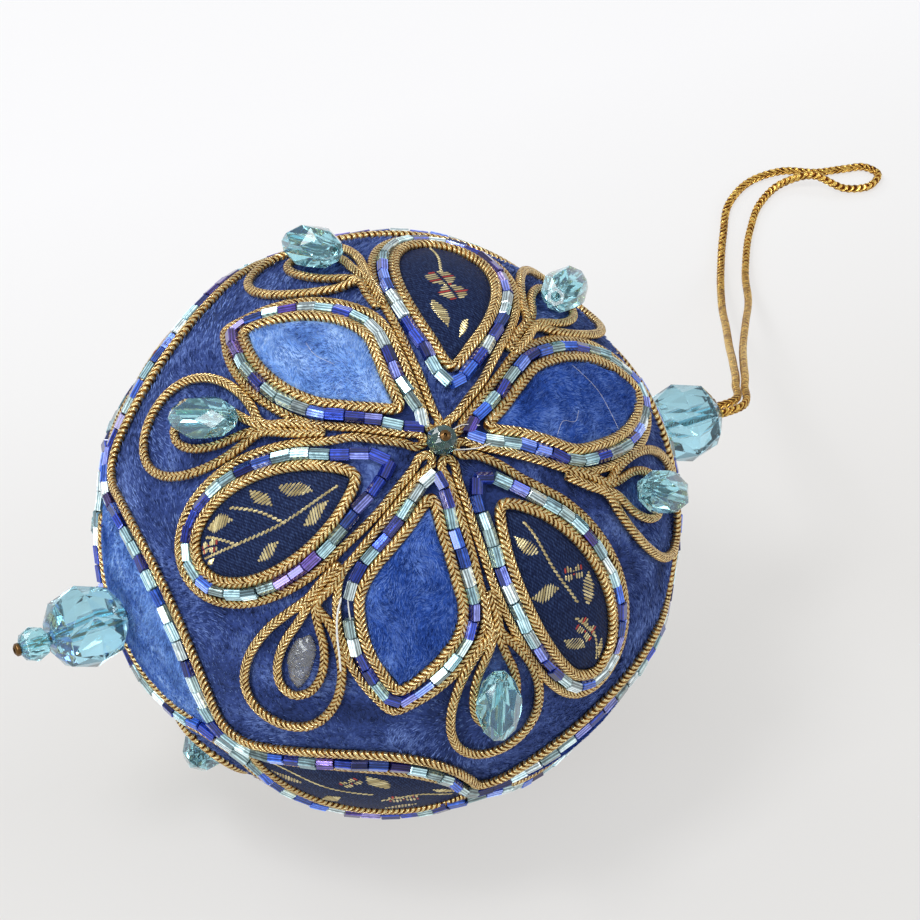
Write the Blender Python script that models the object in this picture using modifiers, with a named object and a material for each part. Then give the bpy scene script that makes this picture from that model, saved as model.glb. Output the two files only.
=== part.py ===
"""Beaded and corded velvet ball ornament, built as solids.

Metres, +Z up. The origin is on the surface that the ball rests on, right below
the ball's centre. The bead axis lies along X, the corded flower faces -Y and up.
"""

import math

import bmesh
import bpy
from mathutils import Matrix, Vector

MM = 0.001
MERGE_DISTANCE = 0.00001
COLLECTION_NAME = "beaded_velvet_ball"

# Ball and how it lies
BALL_RADIUS = 36.0
CENTRE_HEIGHT = 37.1
FLOWER_TILT = math.radians(55.5)
PIECE_GAP = 0.3

# Sewn pieces, radii and thickness
PANEL_THICKNESS = 1.1
PATCH_THICKNESS = 1.3
GIRDLE_THICKNESS = 0.8
CORD_RADIUS = 0.65
BEAD_ROW_RADIUS = 0.75
LOOP_RADIUS = 0.5
RING_RADIUS = 0.58
RING_LIFT = 0.12
BORDER_CORD_RADIUS = 0.6
BORDER_BEAD_RADIUS = 0.75

# Distances outwards from a petal's cloth edge to the middle of each row round it
CORD_OFFSET = 0.95
BEAD_OFFSET = 2.64
LOOP_OFFSET = 4.16
MITRE_LIMIT = 1.35

# Clear distances from the middle of a stem, where two petals meet
STEM_TO_LOOP = 0.62
STEM_TO_BEADS = 2.14
STEM_TO_CORD = 3.8
STEM_TO_PANEL = 4.7
STEM_START = 2.4
STEM_BEND = 2.0
STEM_FLARE = ((4.3, 0.62), (3.2, 0.86))

# Petals on the flower's flat pattern, in mm from the middle of that side of the ball:
# inner tip u, v, outer tip u, v, width left, width right, bluntness inner, outer, cloth
PETAL_COLUMNS = ("u0", "v0", "u1", "v1", "left", "right", "inner", "outer", "cloth")
FRONT_PETALS = (
    (4.0, 0.4, 32.5, 2.0, 5.3, 5.4, 0.85, 0.75, "blue_felt"),
    (3.6, 11.0, 13.8, 32.0, 5.6, 6.6, 0.95, 0.50, "brocade"),
    (-5.6, 8.0, -17.4, 27.0, 4.9, 5.6, 0.85, 0.85, "sky_felt"),
    (-15.0, 0.8, -36.4, -0.4, 5.6, 5.6, 0.75, 0.50, "brocade"),
    (-7.0, -6.5, -16.5, -26.3, 5.9, 6.3, 0.85, 0.85, "blue_felt"),
    (2.6, -10.0, 13.2, -34.0, 5.6, 4.6, 0.70, 0.50, "brocade"),
)
BACK_PETALS = (
    (8.2, 0.3, 32.6, -0.6, 5.4, 5.6, 0.85, 0.80, "blue_felt"),
    (7.0, 10.6, 17.6, 29.2, 5.8, 5.8, 0.90, 0.50, "brocade"),
    (-3.6, 7.6, -15.4, 27.4, 5.4, 5.2, 0.85, 0.85, "sky_felt"),
    (-11.6, 0.4, -34.0, 1.2, 5.8, 5.6, 0.85, 0.50, "brocade"),
    (-3.4, -7.4, -15.6, -27.8, 5.4, 5.6, 0.85, 0.85, "blue_felt"),
    (6.8, -10.8, 17.8, -29.6, 5.6, 5.8, 0.90, 0.50, "brocade"),
)

# Teardrop loops between the petals, each one fastened on the stem before it:
# inner tip u, v, outer tip u, v, width left, width right, reach from the flower's
# middle to where its cord is fastened on the stem, inner ring, oval bead
LOOP_COLUMNS = ("u0", "v0", "u1", "v1", "left", "right", "join", "ring", "bead")
FRONT_LOOPS = (
    (17.2, 12.9, 39.5, 24.0, 6.9, 7.6, 17.0, True, True),
    (-0.5, 27.0, -7.0, 45.0, 9.0, 6.4, 21.0, True, True),
    (-22.0, 12.0, -38.0, 24.0, 7.4, 8.0, 14.0, True, True),
    (-24.2, -11.9, -34.2, -28.5, 6.3, 8.0, 19.0, True, False),
    (-2.9, -23.7, -5.0, -43.0, 7.2, 6.6, 19.0, True, True),
    (18.0, -10.5, 41.0, -16.5, 7.1, 8.2, 17.0, True, True),
)
BACK_LOOPS = (
    (20.5, 11.6, 36.8, 21.4, 6.4, 7.2, 16.5, False, True),
    (0.2, 25.8, 0.2, 44.6, 7.0, 6.6, 16.5, False, False),
    (-19.2, 11.5, -36.6, 22.0, 6.4, 6.9, 17.0, False, True),
    (-19.4, -11.2, -36.4, -21.6, 6.8, 7.2, 17.0, False, True),
    (0.6, -23.4, 0.4, -42.6, 7.2, 7.2, 16.5, False, True),
    (20.4, -11.4, 37.0, -21.8, 7.2, 6.6, 18.0, False, True),
)
FRONT_CENTRE = (-2.8, 0.7)
BACK_CENTRE = (0.2, 0.0)
TEAR_INNER = 0.80
TEAR_OUTER = 0.50
RING_START = 1.5
RING_LENGTH = 12.6
RING_WIDTH = 3.3
RING_JOIN = 0.5
NECK_HALF = 0.3
OVAL_ALONG = 8.6

# Six pointed panels on the ball's girdle, one row each, angles in degrees:
# where it starts round the girdle, how far its start lies off the girdle to the
# front, widths to the front and back edge cord, where the width peaks, cloth
GIRDLE_COLUMNS = ("start", "shift", "front", "back", "peak", "cloth")
GIRDLE_PANELS = (
    (-32.0, 2.0, 16.5, 16.5, 0.50, "brocade"),
    (30.0, -1.0, 16.5, 16.5, 0.50, "blue_felt"),
    (90.0, -1.0, 16.5, 16.5, 0.50, "brocade"),
    (151.0, -1.0, 18.5, 17.5, 0.50, "sky_felt"),
    (212.0, 1.5, 18.5, 16.5, 0.60, "brocade"),
    (265.0, 3.0, 14.0, 16.5, 0.50, "blue_felt"),
)
GIRDLE_POWER = 0.85
GIRDLE_CORD_CLEAR = 2.55
GIRDLE_BEAD_CLEAR = 0.95
GIRDLE_BEAD_INSET = 1.76
GIRDLE_PANEL_INSET = 4.15

# Beads
OVAL_LENGTH = 9.4
OVAL_RADIUS = 2.85
OVAL_HEIGHT = 3.2
SHOULDER_ALONG = 0.27
CENTRE_BEAD_RADIUS = 2.0
FINIAL_RADIUS = 5.35
FINIAL_LENGTH = 9.8
TIP_BEAD_RADIUS = 2.25
TIP_BEAD_LENGTH = 3.8
HANGING_BEAD_RADIUS = 5.2
HANGING_BEAD_LENGTH = 9.5
CENTRE_BEAD_LIFT = 0.2

# Cut of each bead: number of sides, radius of its flat ends and of its shoulders as
# shares of the full radius
OVAL_CUT = (6, 0.45, 0.9)
POLE_CUT = (10, 0.42, 0.86)
TIP_CUT = (8, 0.4, 0.86)
CENTRE_CUT = (8, 0.35, 0.84)

# Hanging cord: one strand folded into a loop, its two ends side by side in the bead.
# Hand-picked route in mm: x, y, z
HANG_RADIUS = 0.575
HANG_ROUTE = (
    (47.4, 0.75, 37.1), (50.0, 1.3, 36.7), (53.6, 6.6, 33.9), (58.6, 16.2, 27.8), (65.2, 29.2, 18.4),
    (70.6, 39.8, 11.4), (76.0, 50.8, 5.0), (81.2, 60.6, 1.4), (85.6, 68.0, 0.65), (89.6, 73.6, 0.65),
    (94.6, 76.4, 0.65), (99.2, 76.0, 0.9), (103.4, 73.8, 0.7), (107.2, 72.8, 0.65), (110.0, 71.8, 0.65),
    (110.9, 69.7, 0.65), (108.8, 68.0, 0.65), (105.4, 68.6, 0.9), (101.6, 72.0, 2.2), (97.6, 73.6, 0.9),
    (93.4, 71.6, 0.65), (89.4, 67.2, 0.65), (84.4, 59.4, 1.5), (79.0, 48.8, 6.0), (73.4, 37.8, 13.0),
    (67.2, 26.6, 20.4), (60.6, 14.6, 27.8), (54.8, 4.6, 33.9), (50.4, -0.5, 36.6), (47.4, -0.75, 37.1),
)
HANG_STEP = 2.9

# Petals of the back beside the resting spot, and size of the cutter that levels it
RESTING_PETALS = (2, 3)
SPOT_CUTTER_SIZE = 60.0

# Points worked out along half an outline, along a girdle panel and between route points
OUTLINE_SAMPLES = 60
FINE_HALF = 40
PETAL_HALF = 8
LOOP_HALF = 8
RING_HALF = 5
BORDER_SAMPLES = 40
GIRDLE_SAMPLES = 100
ROUTE_SAMPLES = 12

# Spacing of the finished points along a cord or bead row
LOOP_STEP = 3.2
BORDER_STEP = 3.7

# Faces across a cloth panel, faces along a girdle panel, and sides of a round cord
PANEL_LANES = 4
GIRDLE_STATIONS = 10
TUBE_SIDES = 4
HANG_SIDES = 8

# Cloth lies this much over its gap to the velvet
SHEET_LIFT = 0.06

# Petals with an outer bluntness below this keep a sharp tip in their own cloth only
BLUNT = 0.6

# How rows keep clear of stems: passes over both stems, how far behind the middle a stem
# still counts, the least sideways bend, room beyond the flare, and pull to the outer end
CLEARING_PASSES = 4
STEM_BEHIND = -2.0
LEAST_BEND = 0.05
BEND_ROOM = 1.0
OUTWARD_PULL = 0.01

COLOURS = {
    "navy_velvet": ((0.020, 0.035, 0.150), 0.90, 0.0),
    "sky_felt": ((0.110, 0.260, 0.680), 0.95, 0.0),
    "blue_felt": ((0.030, 0.090, 0.400), 0.95, 0.0),
    "brocade": ((0.012, 0.020, 0.070), 0.55, 0.0),
    "gold_cord": ((0.550, 0.330, 0.090), 0.35, 0.9),
    "glass_rows": ((0.070, 0.120, 0.480), 0.12, 0.2),
    "aqua_glass": ((0.300, 0.700, 0.780), 0.05, 0.0),
    "smoke_glass": ((0.060, 0.160, 0.150), 0.08, 0.0),
}


class Face:
    """One side of the ball: a flat pattern in mm that is laid on the round."""

    def __init__(self, name, axis, along):
        self.name = name
        self.axis = axis
        self.along = along
        self.across = axis.cross(along)

    def at(self, u, v, height):
        """Point over pattern place u, v, at a height over the velvet."""
        reach = math.hypot(u, v)
        if reach < 1e-9:
            direction = self.axis.copy()
        else:
            angle = reach / BALL_RADIUS
            side = (self.along * u + self.across * v) / reach
            direction = self.axis * math.cos(angle) + side * math.sin(angle)
        return CENTRE + direction * (BALL_RADIUS + height)


CENTRE = Vector((0.0, 0.0, CENTRE_HEIGHT))
BEAD_AXIS = Vector((1.0, 0.0, 0.0))
FLOWER_AXIS = Vector((0.0, -math.cos(FLOWER_TILT), math.sin(FLOWER_TILT)))
FRONT = Face("front", FLOWER_AXIS, BEAD_AXIS)
BACK = Face("back", -FLOWER_AXIS, BEAD_AXIS)


def rows_of(columns, table):
    """Table rows as dictionaries."""
    return [dict(zip(columns, row)) for row in table]


def make_collection(name, hidden=False):
    collection = bpy.data.collections.new(name)
    bpy.context.scene.collection.children.link(collection)
    collection.hide_render = hidden
    return collection


def make_material(name):
    colour, roughness, metallic = COLOURS[name]
    material = bpy.data.materials.new(name)
    material.use_nodes = True
    shader = material.node_tree.nodes["Principled BSDF"]
    shader.inputs["Base Color"].default_value = (*colour, 1.0)
    shader.inputs["Roughness"].default_value = roughness
    shader.inputs["Metallic"].default_value = metallic
    return material


def add_object(name, data, material_name):
    data.materials.clear()
    data.materials.append(MATERIALS[material_name])
    thing = bpy.data.objects.new(name, data)
    PARTS.objects.link(thing)
    return thing


def metres(points):
    return [Vector(p) * MM for p in points]


def swelling(s, inner, outer):
    """Width of a leaf shape at s from 0 to 1, 1 at its widest place."""
    peak = inner / (inner + outer)
    return (s / peak) ** inner * (max(1.0 - s, 0.0) / (1.0 - peak)) ** outer


def resample(points, count, closed=True):
    """Evenly spaced points along a line."""
    line = [Vector(p) for p in points]
    if closed:
        line.append(line[0])
    lengths = [0.0]
    for a, b in zip(line, line[1:]):
        lengths.append(lengths[-1] + (b - a).length)
    spans = count if closed else count - 1
    result = []
    k = 0
    for i in range(count):
        target = lengths[-1] * i / spans
        while k < len(line) - 2 and lengths[k + 1] < target:
            k += 1
        span = max(lengths[k + 1] - lengths[k], 1e-12)
        result.append(line[k].lerp(line[k + 1], (target - lengths[k]) / span))
    return result


def line_length(points, closed=True):
    line = [Vector(p) for p in points]
    if closed:
        line.append(line[0])
    return sum((b - a).length for a, b in zip(line, line[1:]))


def evenly(points, step):
    """Points on an open line, about one step apart, with both of its ends kept."""
    return resample(points, max(round(line_length(points, closed=False) / step), 2) + 1, closed=False)


def leaf_sides(row, inner, outer):
    """Right and left side of a leaf outline, both from the inner to the outer tip."""
    start = Vector((row["u0"], row["v0"]))
    end = Vector((row["u1"], row["v1"]))
    along = end - start
    left = Vector((-along.y, along.x)).normalized()
    right_side = []
    left_side = []
    for i in range(OUTLINE_SAMPLES + 1):
        s = (1.0 - math.cos(math.pi * i / OUTLINE_SAMPLES)) / 2.0
        width = swelling(s, inner, outer)
        middle = start + along * s
        right_side.append(middle - left * row["right"] * width)
        left_side.append(middle + left * row["left"] * width)
    return right_side, left_side


def leaf_outline(row, inner, outer, half_count):
    """Closed outline, counter-clockwise, with a point on each tip."""
    right_side, left_side = leaf_sides(row, inner, outer)
    right = resample(right_side, half_count + 1, closed=False)
    left = resample(left_side, half_count + 1, closed=False)
    return right + left[::-1][1:-1]


def sides_of(outline):
    """Right and left side of a closed outline, both from the inner to the outer tip."""
    half_count = len(outline) // 2
    return outline[:half_count + 1], [outline[0]] + outline[:half_count - 1:-1]


def offset_outline(outline, distance, blunt_tip=False):
    """The outline moved outwards and mitred up to a limit, but not at a blunt outer tip."""
    moved = []
    for i, point in enumerate(outline):
        limit = 1.0 if blunt_tip and i == len(outline) // 2 else MITRE_LIMIT
        before = (point - outline[i - 1]).normalized()
        after = (outline[(i + 1) % len(outline)] - point).normalized()
        outward = Vector((before.y + after.y, -before.x - after.x)).normalized()
        cosine = outward.dot(Vector((before.y, -before.x)))
        moved.append(point + outward * distance * min(1.0 / cosine, limit))
    return moved


def clear_of_stems(outline, centre, stems, clearance):
    """Moves points sideways until they are clear of the two stems beside a petal."""
    middle = Vector(centre)
    before, after = stems
    moved = []
    for point in outline:
        spot = point.copy()
        for _ in range(CLEARING_PASSES):
            for direction, side in ((before, 1.0), (after, -1.0)):
                normal = Vector((-direction.y, direction.x)) * side
                rel = spot - middle
                if rel.dot(direction) < STEM_BEHIND:
                    continue
                short = clearance - rel.dot(normal)
                if short > 0.0:
                    spot = spot + normal * short
        moved.append(spot)
    return moved


def stem_directions(centre, loops):
    """One unit direction for each stem, from the flower's middle to its loop."""
    middle = Vector(centre)
    return [(Vector((row["u0"], row["v0"])) - middle).normalized() for row in loops]


def petal_stems(index, stems):
    """The stems before and after petal number index, going round."""
    return stems[index - 1], stems[index]


def tube_curve(name, points, radius, material_name, closed=True, sides=TUBE_SIDES):
    """Round tube along points, which are in mm."""
    curve = bpy.data.curves.new(name, "CURVE")
    curve.dimensions = "3D"
    curve.bevel_depth = radius * MM
    curve.bevel_resolution = sides // 2 - 2
    curve.use_fill_caps = not closed
    spline = curve.splines.new("POLY")
    spline.points.add(len(points) - 1)
    for spot, place in zip(spline.points, metres(points)):
        spot.co = (*place, 1.0)
    spline.use_cyclic_u = closed
    return add_object(name, curve, material_name)


def as_mesh(thing):
    """The same object as a mesh, its doubles merged."""
    graph = bpy.context.evaluated_depsgraph_get()
    mesh = bpy.data.meshes.new_from_object(thing.evaluated_get(graph))
    solid = bmesh.new()
    solid.from_mesh(mesh)
    bmesh.ops.remove_doubles(solid, verts=solid.verts, dist=MERGE_DISTANCE)
    solid.to_mesh(mesh)
    solid.free()
    name = thing.name
    matrix = thing.matrix_world.copy()
    material = thing.data.materials[0]
    bpy.data.objects.remove(thing)
    mesh.materials.clear()
    mesh.materials.append(material)
    fresh = bpy.data.objects.new(name, mesh)
    fresh.matrix_world = matrix
    PARTS.objects.link(fresh)
    return fresh


def join_solids(base, others, name):
    """Boolean union of several closed tubes."""
    group = make_collection(name, hidden=True)
    for thing in others:
        PARTS.objects.unlink(thing)
        group.objects.link(thing)
        thing.hide_render = True
        thing.display_type = "WIRE"
    union = base.modifiers.new("joined_loops", "BOOLEAN")
    union.operation = "UNION"
    union.solver = "EXACT"
    union.operand_type = "COLLECTION"
    union.collection = group
    union.use_self = True
    return base


def level_at_rest(thing, cutter):
    """Cuts the small flat spot where the ball rests."""
    if thing.type == "CURVE":
        thing = as_mesh(thing)
    cut = thing.modifiers.new("resting_spot", "BOOLEAN")
    cut.operation = "DIFFERENCE"
    cut.solver = "EXACT"
    cut.object = cutter
    return thing


def make_ball():
    bpy.ops.mesh.primitive_ico_sphere_add(subdivisions=4, radius=BALL_RADIUS * MM)
    ball = bpy.context.object
    ball.name = "velvet_ball"
    ball.location = CENTRE * MM
    for collection in list(ball.users_collection):
        collection.objects.unlink(ball)
    PARTS.objects.link(ball)
    ball.data.materials.append(MATERIALS["navy_velvet"])
    ball.data.shade_smooth()
    return ball


def thick_cloth(name, sheet, cloth, thickness):
    """Cloth piece from a sheet that lies on the ball, thickened outwards."""
    mesh = bpy.data.meshes.new(name)
    sheet.normal_update()
    outwards = sum(face.normal.dot(face.calc_center_median() - CENTRE * MM) for face in sheet.faces)
    if outwards < 0.0:
        bmesh.ops.reverse_faces(sheet, faces=sheet.faces)
    sheet.to_mesh(mesh)
    sheet.free()
    thing = add_object(name, mesh, cloth)
    solidify = thing.modifiers.new("cloth_thickness", "SOLIDIFY")
    solidify.thickness = thickness * MM
    solidify.offset = 1.0
    solidify.use_even_offset = True
    return thing


def petal_panel(face, number, outline, cloth, thickness):
    """Cloth inside a petal outline that has a point on each tip."""
    right_side, left_side = sides_of(outline)
    last = len(right_side) - 1
    height = PIECE_GAP + SHEET_LIFT
    sheet = bmesh.new()
    grid = []
    for i, (right, left) in enumerate(zip(right_side, left_side)):
        line = [right.lerp(left, lane / PANEL_LANES) for lane in range(PANEL_LANES + 1)]
        if i in (0, last):
            tip = sheet.verts.new(face.at(*line[0], height) * MM)
            grid.append([tip] * (PANEL_LANES + 1))
        else:
            grid.append([sheet.verts.new(face.at(*spot, height) * MM) for spot in line])
    for near, far in zip(grid, grid[1:]):
        for lane in range(PANEL_LANES):
            corners = [near[lane], far[lane], far[lane + 1], near[lane + 1]]
            sheet.faces.new(list(dict.fromkeys(corners)))
    return thick_cloth(f"petal_panel_{face.name}_{number}", sheet, cloth, thickness)


def ring_on_ball(face, outline, height):
    return [face.at(p.x, p.y, height) for p in outline]


def stem_bend(middle, direction, normal, leaving):
    """Place where a cord bends away from its stem to reach a point of the petal's outline."""
    along = (leaving - middle).dot(direction)
    aside = (leaving - middle).dot(normal) - STEM_TO_LOOP
    reach = along - STEM_BEND * (1.0 + aside)
    if aside < LEAST_BEND or reach < STEM_FLARE[0][0] + BEND_ROOM:
        return []
    return [middle + direction * reach + normal * STEM_TO_LOOP]


def rosette_line(centre, petals, stems):
    """One gold cord round all six petals, with a narrow slit along each stem."""
    middle = Vector(centre)
    line = []
    for index, row in enumerate(petals):
        before, after = petal_stems(index, stems)
        left_of_before = Vector((-before.y, before.x))
        right_of_after = Vector((after.y, -after.x))
        outline = leaf_outline(row, row["inner"], row["outer"], FINE_HALF)
        outline = offset_outline(outline, LOOP_OFFSET)
        outline = clear_of_stems(outline, centre, (before, after), STEM_TO_LOOP)

        def leaving(direction, normal):
            """Place on the outline where the cord leaves a stem."""
            pull = direction * OUTWARD_PULL
            spots = [(p - middle).dot(normal - pull) for p in outline]
            return min(range(len(spots)), key=spots.__getitem__)

        first = leaving(before, left_of_before)
        last = leaving(after, right_of_after)
        if last < FINE_HALF:
            last += len(outline)
        to_tip = outline[first:FINE_HALF + 1]
        from_tip = [outline[k % len(outline)] for k in range(FINE_HALF, last + 1)]
        flare_in = [middle + before * reach + left_of_before * side for reach, side in STEM_FLARE]
        flare_out = [middle + after * reach + right_of_after * side for reach, side in STEM_FLARE]
        run_out = [flare_in[0]] + stem_bend(middle, before, left_of_before, to_tip[0]) + to_tip
        run_back = from_tip + stem_bend(middle, after, right_of_after, from_tip[-1]) + [flare_out[0]]
        line.append(middle + before * STEM_START)
        line.append(flare_in[1])
        line.extend(evenly(run_out, LOOP_STEP))
        line.extend(evenly(run_back, LOOP_STEP)[1:])
        line.append(flare_out[1])
    return line


def flower(face, petal_table, loop_table, centre, cutter):
    petals = rows_of(PETAL_COLUMNS, petal_table)
    loops = rows_of(LOOP_COLUMNS, loop_table)
    stems = stem_directions(centre, loops)
    hidden = face is BACK
    for index, row in enumerate(petals):
        number = index + 1
        beside = petal_stems(index, stems)
        cloth = leaf_outline(row, row["inner"], row["outer"], PETAL_HALF)
        cloth = clear_of_stems(cloth, centre, beside, STEM_TO_PANEL)

        def row_round(distance, clearance):
            """Line round the cloth at a distance, clear of the stems beside it."""
            line = offset_outline(cloth, distance, row["outer"] < BLUNT)
            return clear_of_stems(line, centre, beside, clearance)

        beads = ring_on_ball(face, row_round(BEAD_OFFSET, STEM_TO_BEADS), PIECE_GAP + BEAD_ROW_RADIUS)
        pieces = [tube_curve(f"petal_beads_{face.name}_{number}", beads, BEAD_ROW_RADIUS, "glass_rows")]
        if hidden:
            patch = row_round(CORD_OFFSET + CORD_RADIUS, STEM_TO_CORD - CORD_RADIUS)
            pieces.append(petal_panel(face, number, patch, row["cloth"], PATCH_THICKNESS))
        else:
            petal_panel(face, number, cloth, row["cloth"], PANEL_THICKNESS)
            cord = ring_on_ball(face, row_round(CORD_OFFSET, STEM_TO_CORD), PIECE_GAP + CORD_RADIUS)
            tube_curve(f"petal_cord_{face.name}_{number}", cord, CORD_RADIUS, "gold_cord")
        if hidden and number in RESTING_PETALS:
            for piece in pieces:
                level_at_rest(piece, cutter)
    gold_loops(face, petals, loops, stems, centre, cutter if hidden else None)
    oval_beads(face, loops)
    centre_bead(face, centre)


def gold_loops(face, petals, loops, stems, centre, cutter):
    """Rosette cord, teardrop loops and bead rings of one side, joined."""
    height = PIECE_GAP + LOOP_RADIUS
    line = rosette_line(centre, petals, stems)
    name = f"gold_loops_{face.name}"
    base = as_mesh(tube_curve(name, ring_on_ball(face, line, height), LOOP_RADIUS, "gold_cord"))
    extra = []
    for index, row in enumerate(loops):
        fastened = Vector(centre) + stems[index] * row["join"]
        tear = leaf_outline(row, TEAR_INNER, TEAR_OUTER, LOOP_HALF)
        tear = fasten(tear, fastened)
        ring = ring_on_ball(face, tear, height + RING_LIFT)
        extra.append(as_mesh(tube_curve(f"tear_{face.name}_{index}", ring, LOOP_RADIUS, "gold_cord")))
        if row["ring"]:
            inner = leaf_outline(bead_ring_row(row), TEAR_INNER, TEAR_OUTER, RING_HALF)
            inner = fasten(inner, Vector((row["u0"], row["v0"])) - stems[index] * RING_JOIN)
            ring = ring_on_ball(face, inner, height + 2.0 * RING_LIFT)
            extra.append(as_mesh(tube_curve(f"ring_{face.name}_{index}", ring, RING_RADIUS, "gold_cord")))
    join_solids(base, extra, f"loops_{face.name}")
    if cutter is not None:
        level_at_rest(base, cutter)
    return base


def fasten(outline, place):
    """The outline drawn in at its inner tip, as a narrow neck that reaches a place on the stem."""
    tip = outline[0]
    along = (tip - place).normalized()
    aside = Vector((along.y, -along.x)) * NECK_HALF
    right, left = tip + aside, tip - aside
    return [place, place.lerp(right, 0.5), right] + outline[1:] + [left, left.lerp(place, 0.5)]


def bead_ring_row(row):
    """The small ring of cord inside a teardrop loop, round its oval bead."""
    start = Vector((row["u0"], row["v0"]))
    along = (Vector((row["u1"], row["v1"])) - start).normalized()
    near = start + along * RING_START
    far = near + along * RING_LENGTH
    return {"u0": near.x, "v0": near.y, "u1": far.x, "v1": far.y, "left": RING_WIDTH, "right": RING_WIDTH}


def faceted_bead(name, radius, length, cut, place, axis, material_name):
    """Cut glass bead: a straight-sided profile turned in a few steps, with flat drilled ends."""
    sides, end_share, shoulder_share = cut
    profile = ((0.0, 0.5), (end_share, 0.5), (shoulder_share, SHOULDER_ALONG), (1.0, 0.0),
               (shoulder_share, -SHOULDER_ALONG), (end_share, -0.5), (0.0, -0.5))
    mesh = bpy.data.meshes.new(name)
    spots = [Vector((out * radius, 0.0, along * length)) * MM for out, along in profile]
    mesh.from_pydata(spots, [(i, i + 1) for i in range(len(spots) - 1)], [])
    thing = add_object(name, mesh, material_name)
    turned = thing.modifiers.new("facets", "SCREW")
    turned.steps = sides
    turned.render_steps = sides
    turned.use_merge_vertices = True
    turned.merge_threshold = MERGE_DISTANCE
    turned.use_smooth_shade = False
    thing.location = place * MM
    thing.rotation_mode = "QUATERNION"
    thing.rotation_quaternion = axis.to_track_quat("Z", "Y")
    return thing


def oval_beads(face, loops):
    for index, row in enumerate(loops):
        if not row["bead"]:
            continue
        start = Vector((row["u0"], row["v0"]))
        along = (Vector((row["u1"], row["v1"])) - start).normalized()
        spot = start + along * OVAL_ALONG
        ahead = spot + along
        place = face.at(spot.x, spot.y, OVAL_HEIGHT)
        axis = (face.at(ahead.x, ahead.y, OVAL_HEIGHT) - place).normalized()
        faceted_bead(f"oval_bead_{face.name}_{index + 1}", OVAL_RADIUS, OVAL_LENGTH, OVAL_CUT, place, axis,
                     "aqua_glass")


def centre_bead(face, centre):
    height = PIECE_GAP + CENTRE_BEAD_RADIUS + CENTRE_BEAD_LIFT
    place = face.at(centre[0], centre[1], height)
    axis = (place - CENTRE).normalized()
    faceted_bead(f"centre_bead_{face.name}", CENTRE_BEAD_RADIUS, 2.0 * CENTRE_BEAD_RADIUS, CENTRE_CUT, place, axis,
                 "smoke_glass")


def girdle_spans():
    """Girdle table rows with their end, and the shift that they end with."""
    table = rows_of(GIRDLE_COLUMNS, GIRDLE_PANELS)
    for row, after in zip(table, table[1:] + table[:1]):
        row["end"] = after["start"] if after["start"] > row["start"] else after["start"] + 360.0
        row["shift_end"] = after["shift"]
    return table


def polar(turn, angle):
    """Unit direction at an angle from the flower axis, turned from the bead axis."""
    side = BEAD_AXIS * math.cos(turn) + FRONT.across * math.sin(turn)
    return FLOWER_AXIS * math.cos(angle) + side * math.sin(angle)


def girdle_place(row, share, offset):
    """Unit direction part way along a girdle panel, offset in mm to the front of its middle line."""
    turn = math.radians(row["start"] + (row["end"] - row["start"]) * share)
    shift = math.radians(row["shift"] + (row["shift_end"] - row["shift"]) * share)
    return polar(turn, math.pi / 2.0 - shift - offset / BALL_RADIUS)


def girdle_width(row, side, share):
    """Distance in mm from a panel's middle line to the border cord on one side."""
    wide = math.radians(row["front"] if side > 0 else row["back"]) * BALL_RADIUS
    inner = GIRDLE_POWER * 2.0 * row["peak"]
    outer = GIRDLE_POWER * 2.0 * (1.0 - row["peak"])
    return wide * swelling(share, inner, outer)


def girdle_offset(spot, table):
    """Distance in mm from the girdle's middle line, to the front, at a place on the ball."""
    turn = math.degrees(math.atan2(spot.dot(FRONT.across), spot.dot(BEAD_AXIS)))
    if turn < table[0]["start"]:
        turn += 360.0
    row = next(r for r in table if r["start"] <= turn <= r["end"])
    share = (turn - row["start"]) / (row["end"] - row["start"])
    shift = row["shift"] + (row["shift_end"] - row["shift"]) * share
    angle = math.degrees(math.acos(spot.dot(FLOWER_AXIS)))
    return math.radians(90.0 - shift - angle) * BALL_RADIUS


def border_line(table, side):
    """Unit directions along the gold cord on one side of the girdle."""
    line = []
    for row in table:
        for i in range(BORDER_SAMPLES):
            share = i / BORDER_SAMPLES
            offset = max(girdle_width(row, side, share), GIRDLE_CORD_CLEAR)
            line.append(girdle_place(row, share, side * offset))
    return [p.normalized() for p in resample(line, len(line))]


def inside_border(line, table, side, inset, clear):
    """The border line moved towards the girdle's middle, but kept clear of the middle line."""
    moved = []
    for i, spot in enumerate(line):
        tangent = (line[(i + 1) % len(line)] - line[i - 1]).normalized()
        inward = spot.cross(tangent) * -side
        place = (spot + inward * inset / BALL_RADIUS).normalized()
        short = clear - side * girdle_offset(place, table)
        if short > 0.0:
            place = (place + FLOWER_AXIS * side * short / BALL_RADIUS).normalized()
        moved.append(place)
    return moved


def border_tube(name, line, radius, material_name):
    height = BALL_RADIUS + PIECE_GAP + radius
    count = int(line_length(line) * BALL_RADIUS / BORDER_STEP)
    points = [CENTRE + p.normalized() * height for p in resample(line, count)]
    return tube_curve(name, points, radius, material_name)


def girdle():
    table = girdle_spans()
    for side, face in ((1, FRONT), (-1, BACK)):
        cord = border_line(table, side)
        beads = inside_border(cord, table, side, GIRDLE_BEAD_INSET, GIRDLE_BEAD_CLEAR)
        border_tube(f"border_cord_{face.name}", cord, BORDER_CORD_RADIUS, "gold_cord")
        border_tube(f"border_beads_{face.name}", beads, BORDER_BEAD_RADIUS, "glass_rows")
    for number, row in enumerate(table, start=1):
        girdle_panel(number, row)


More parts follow.
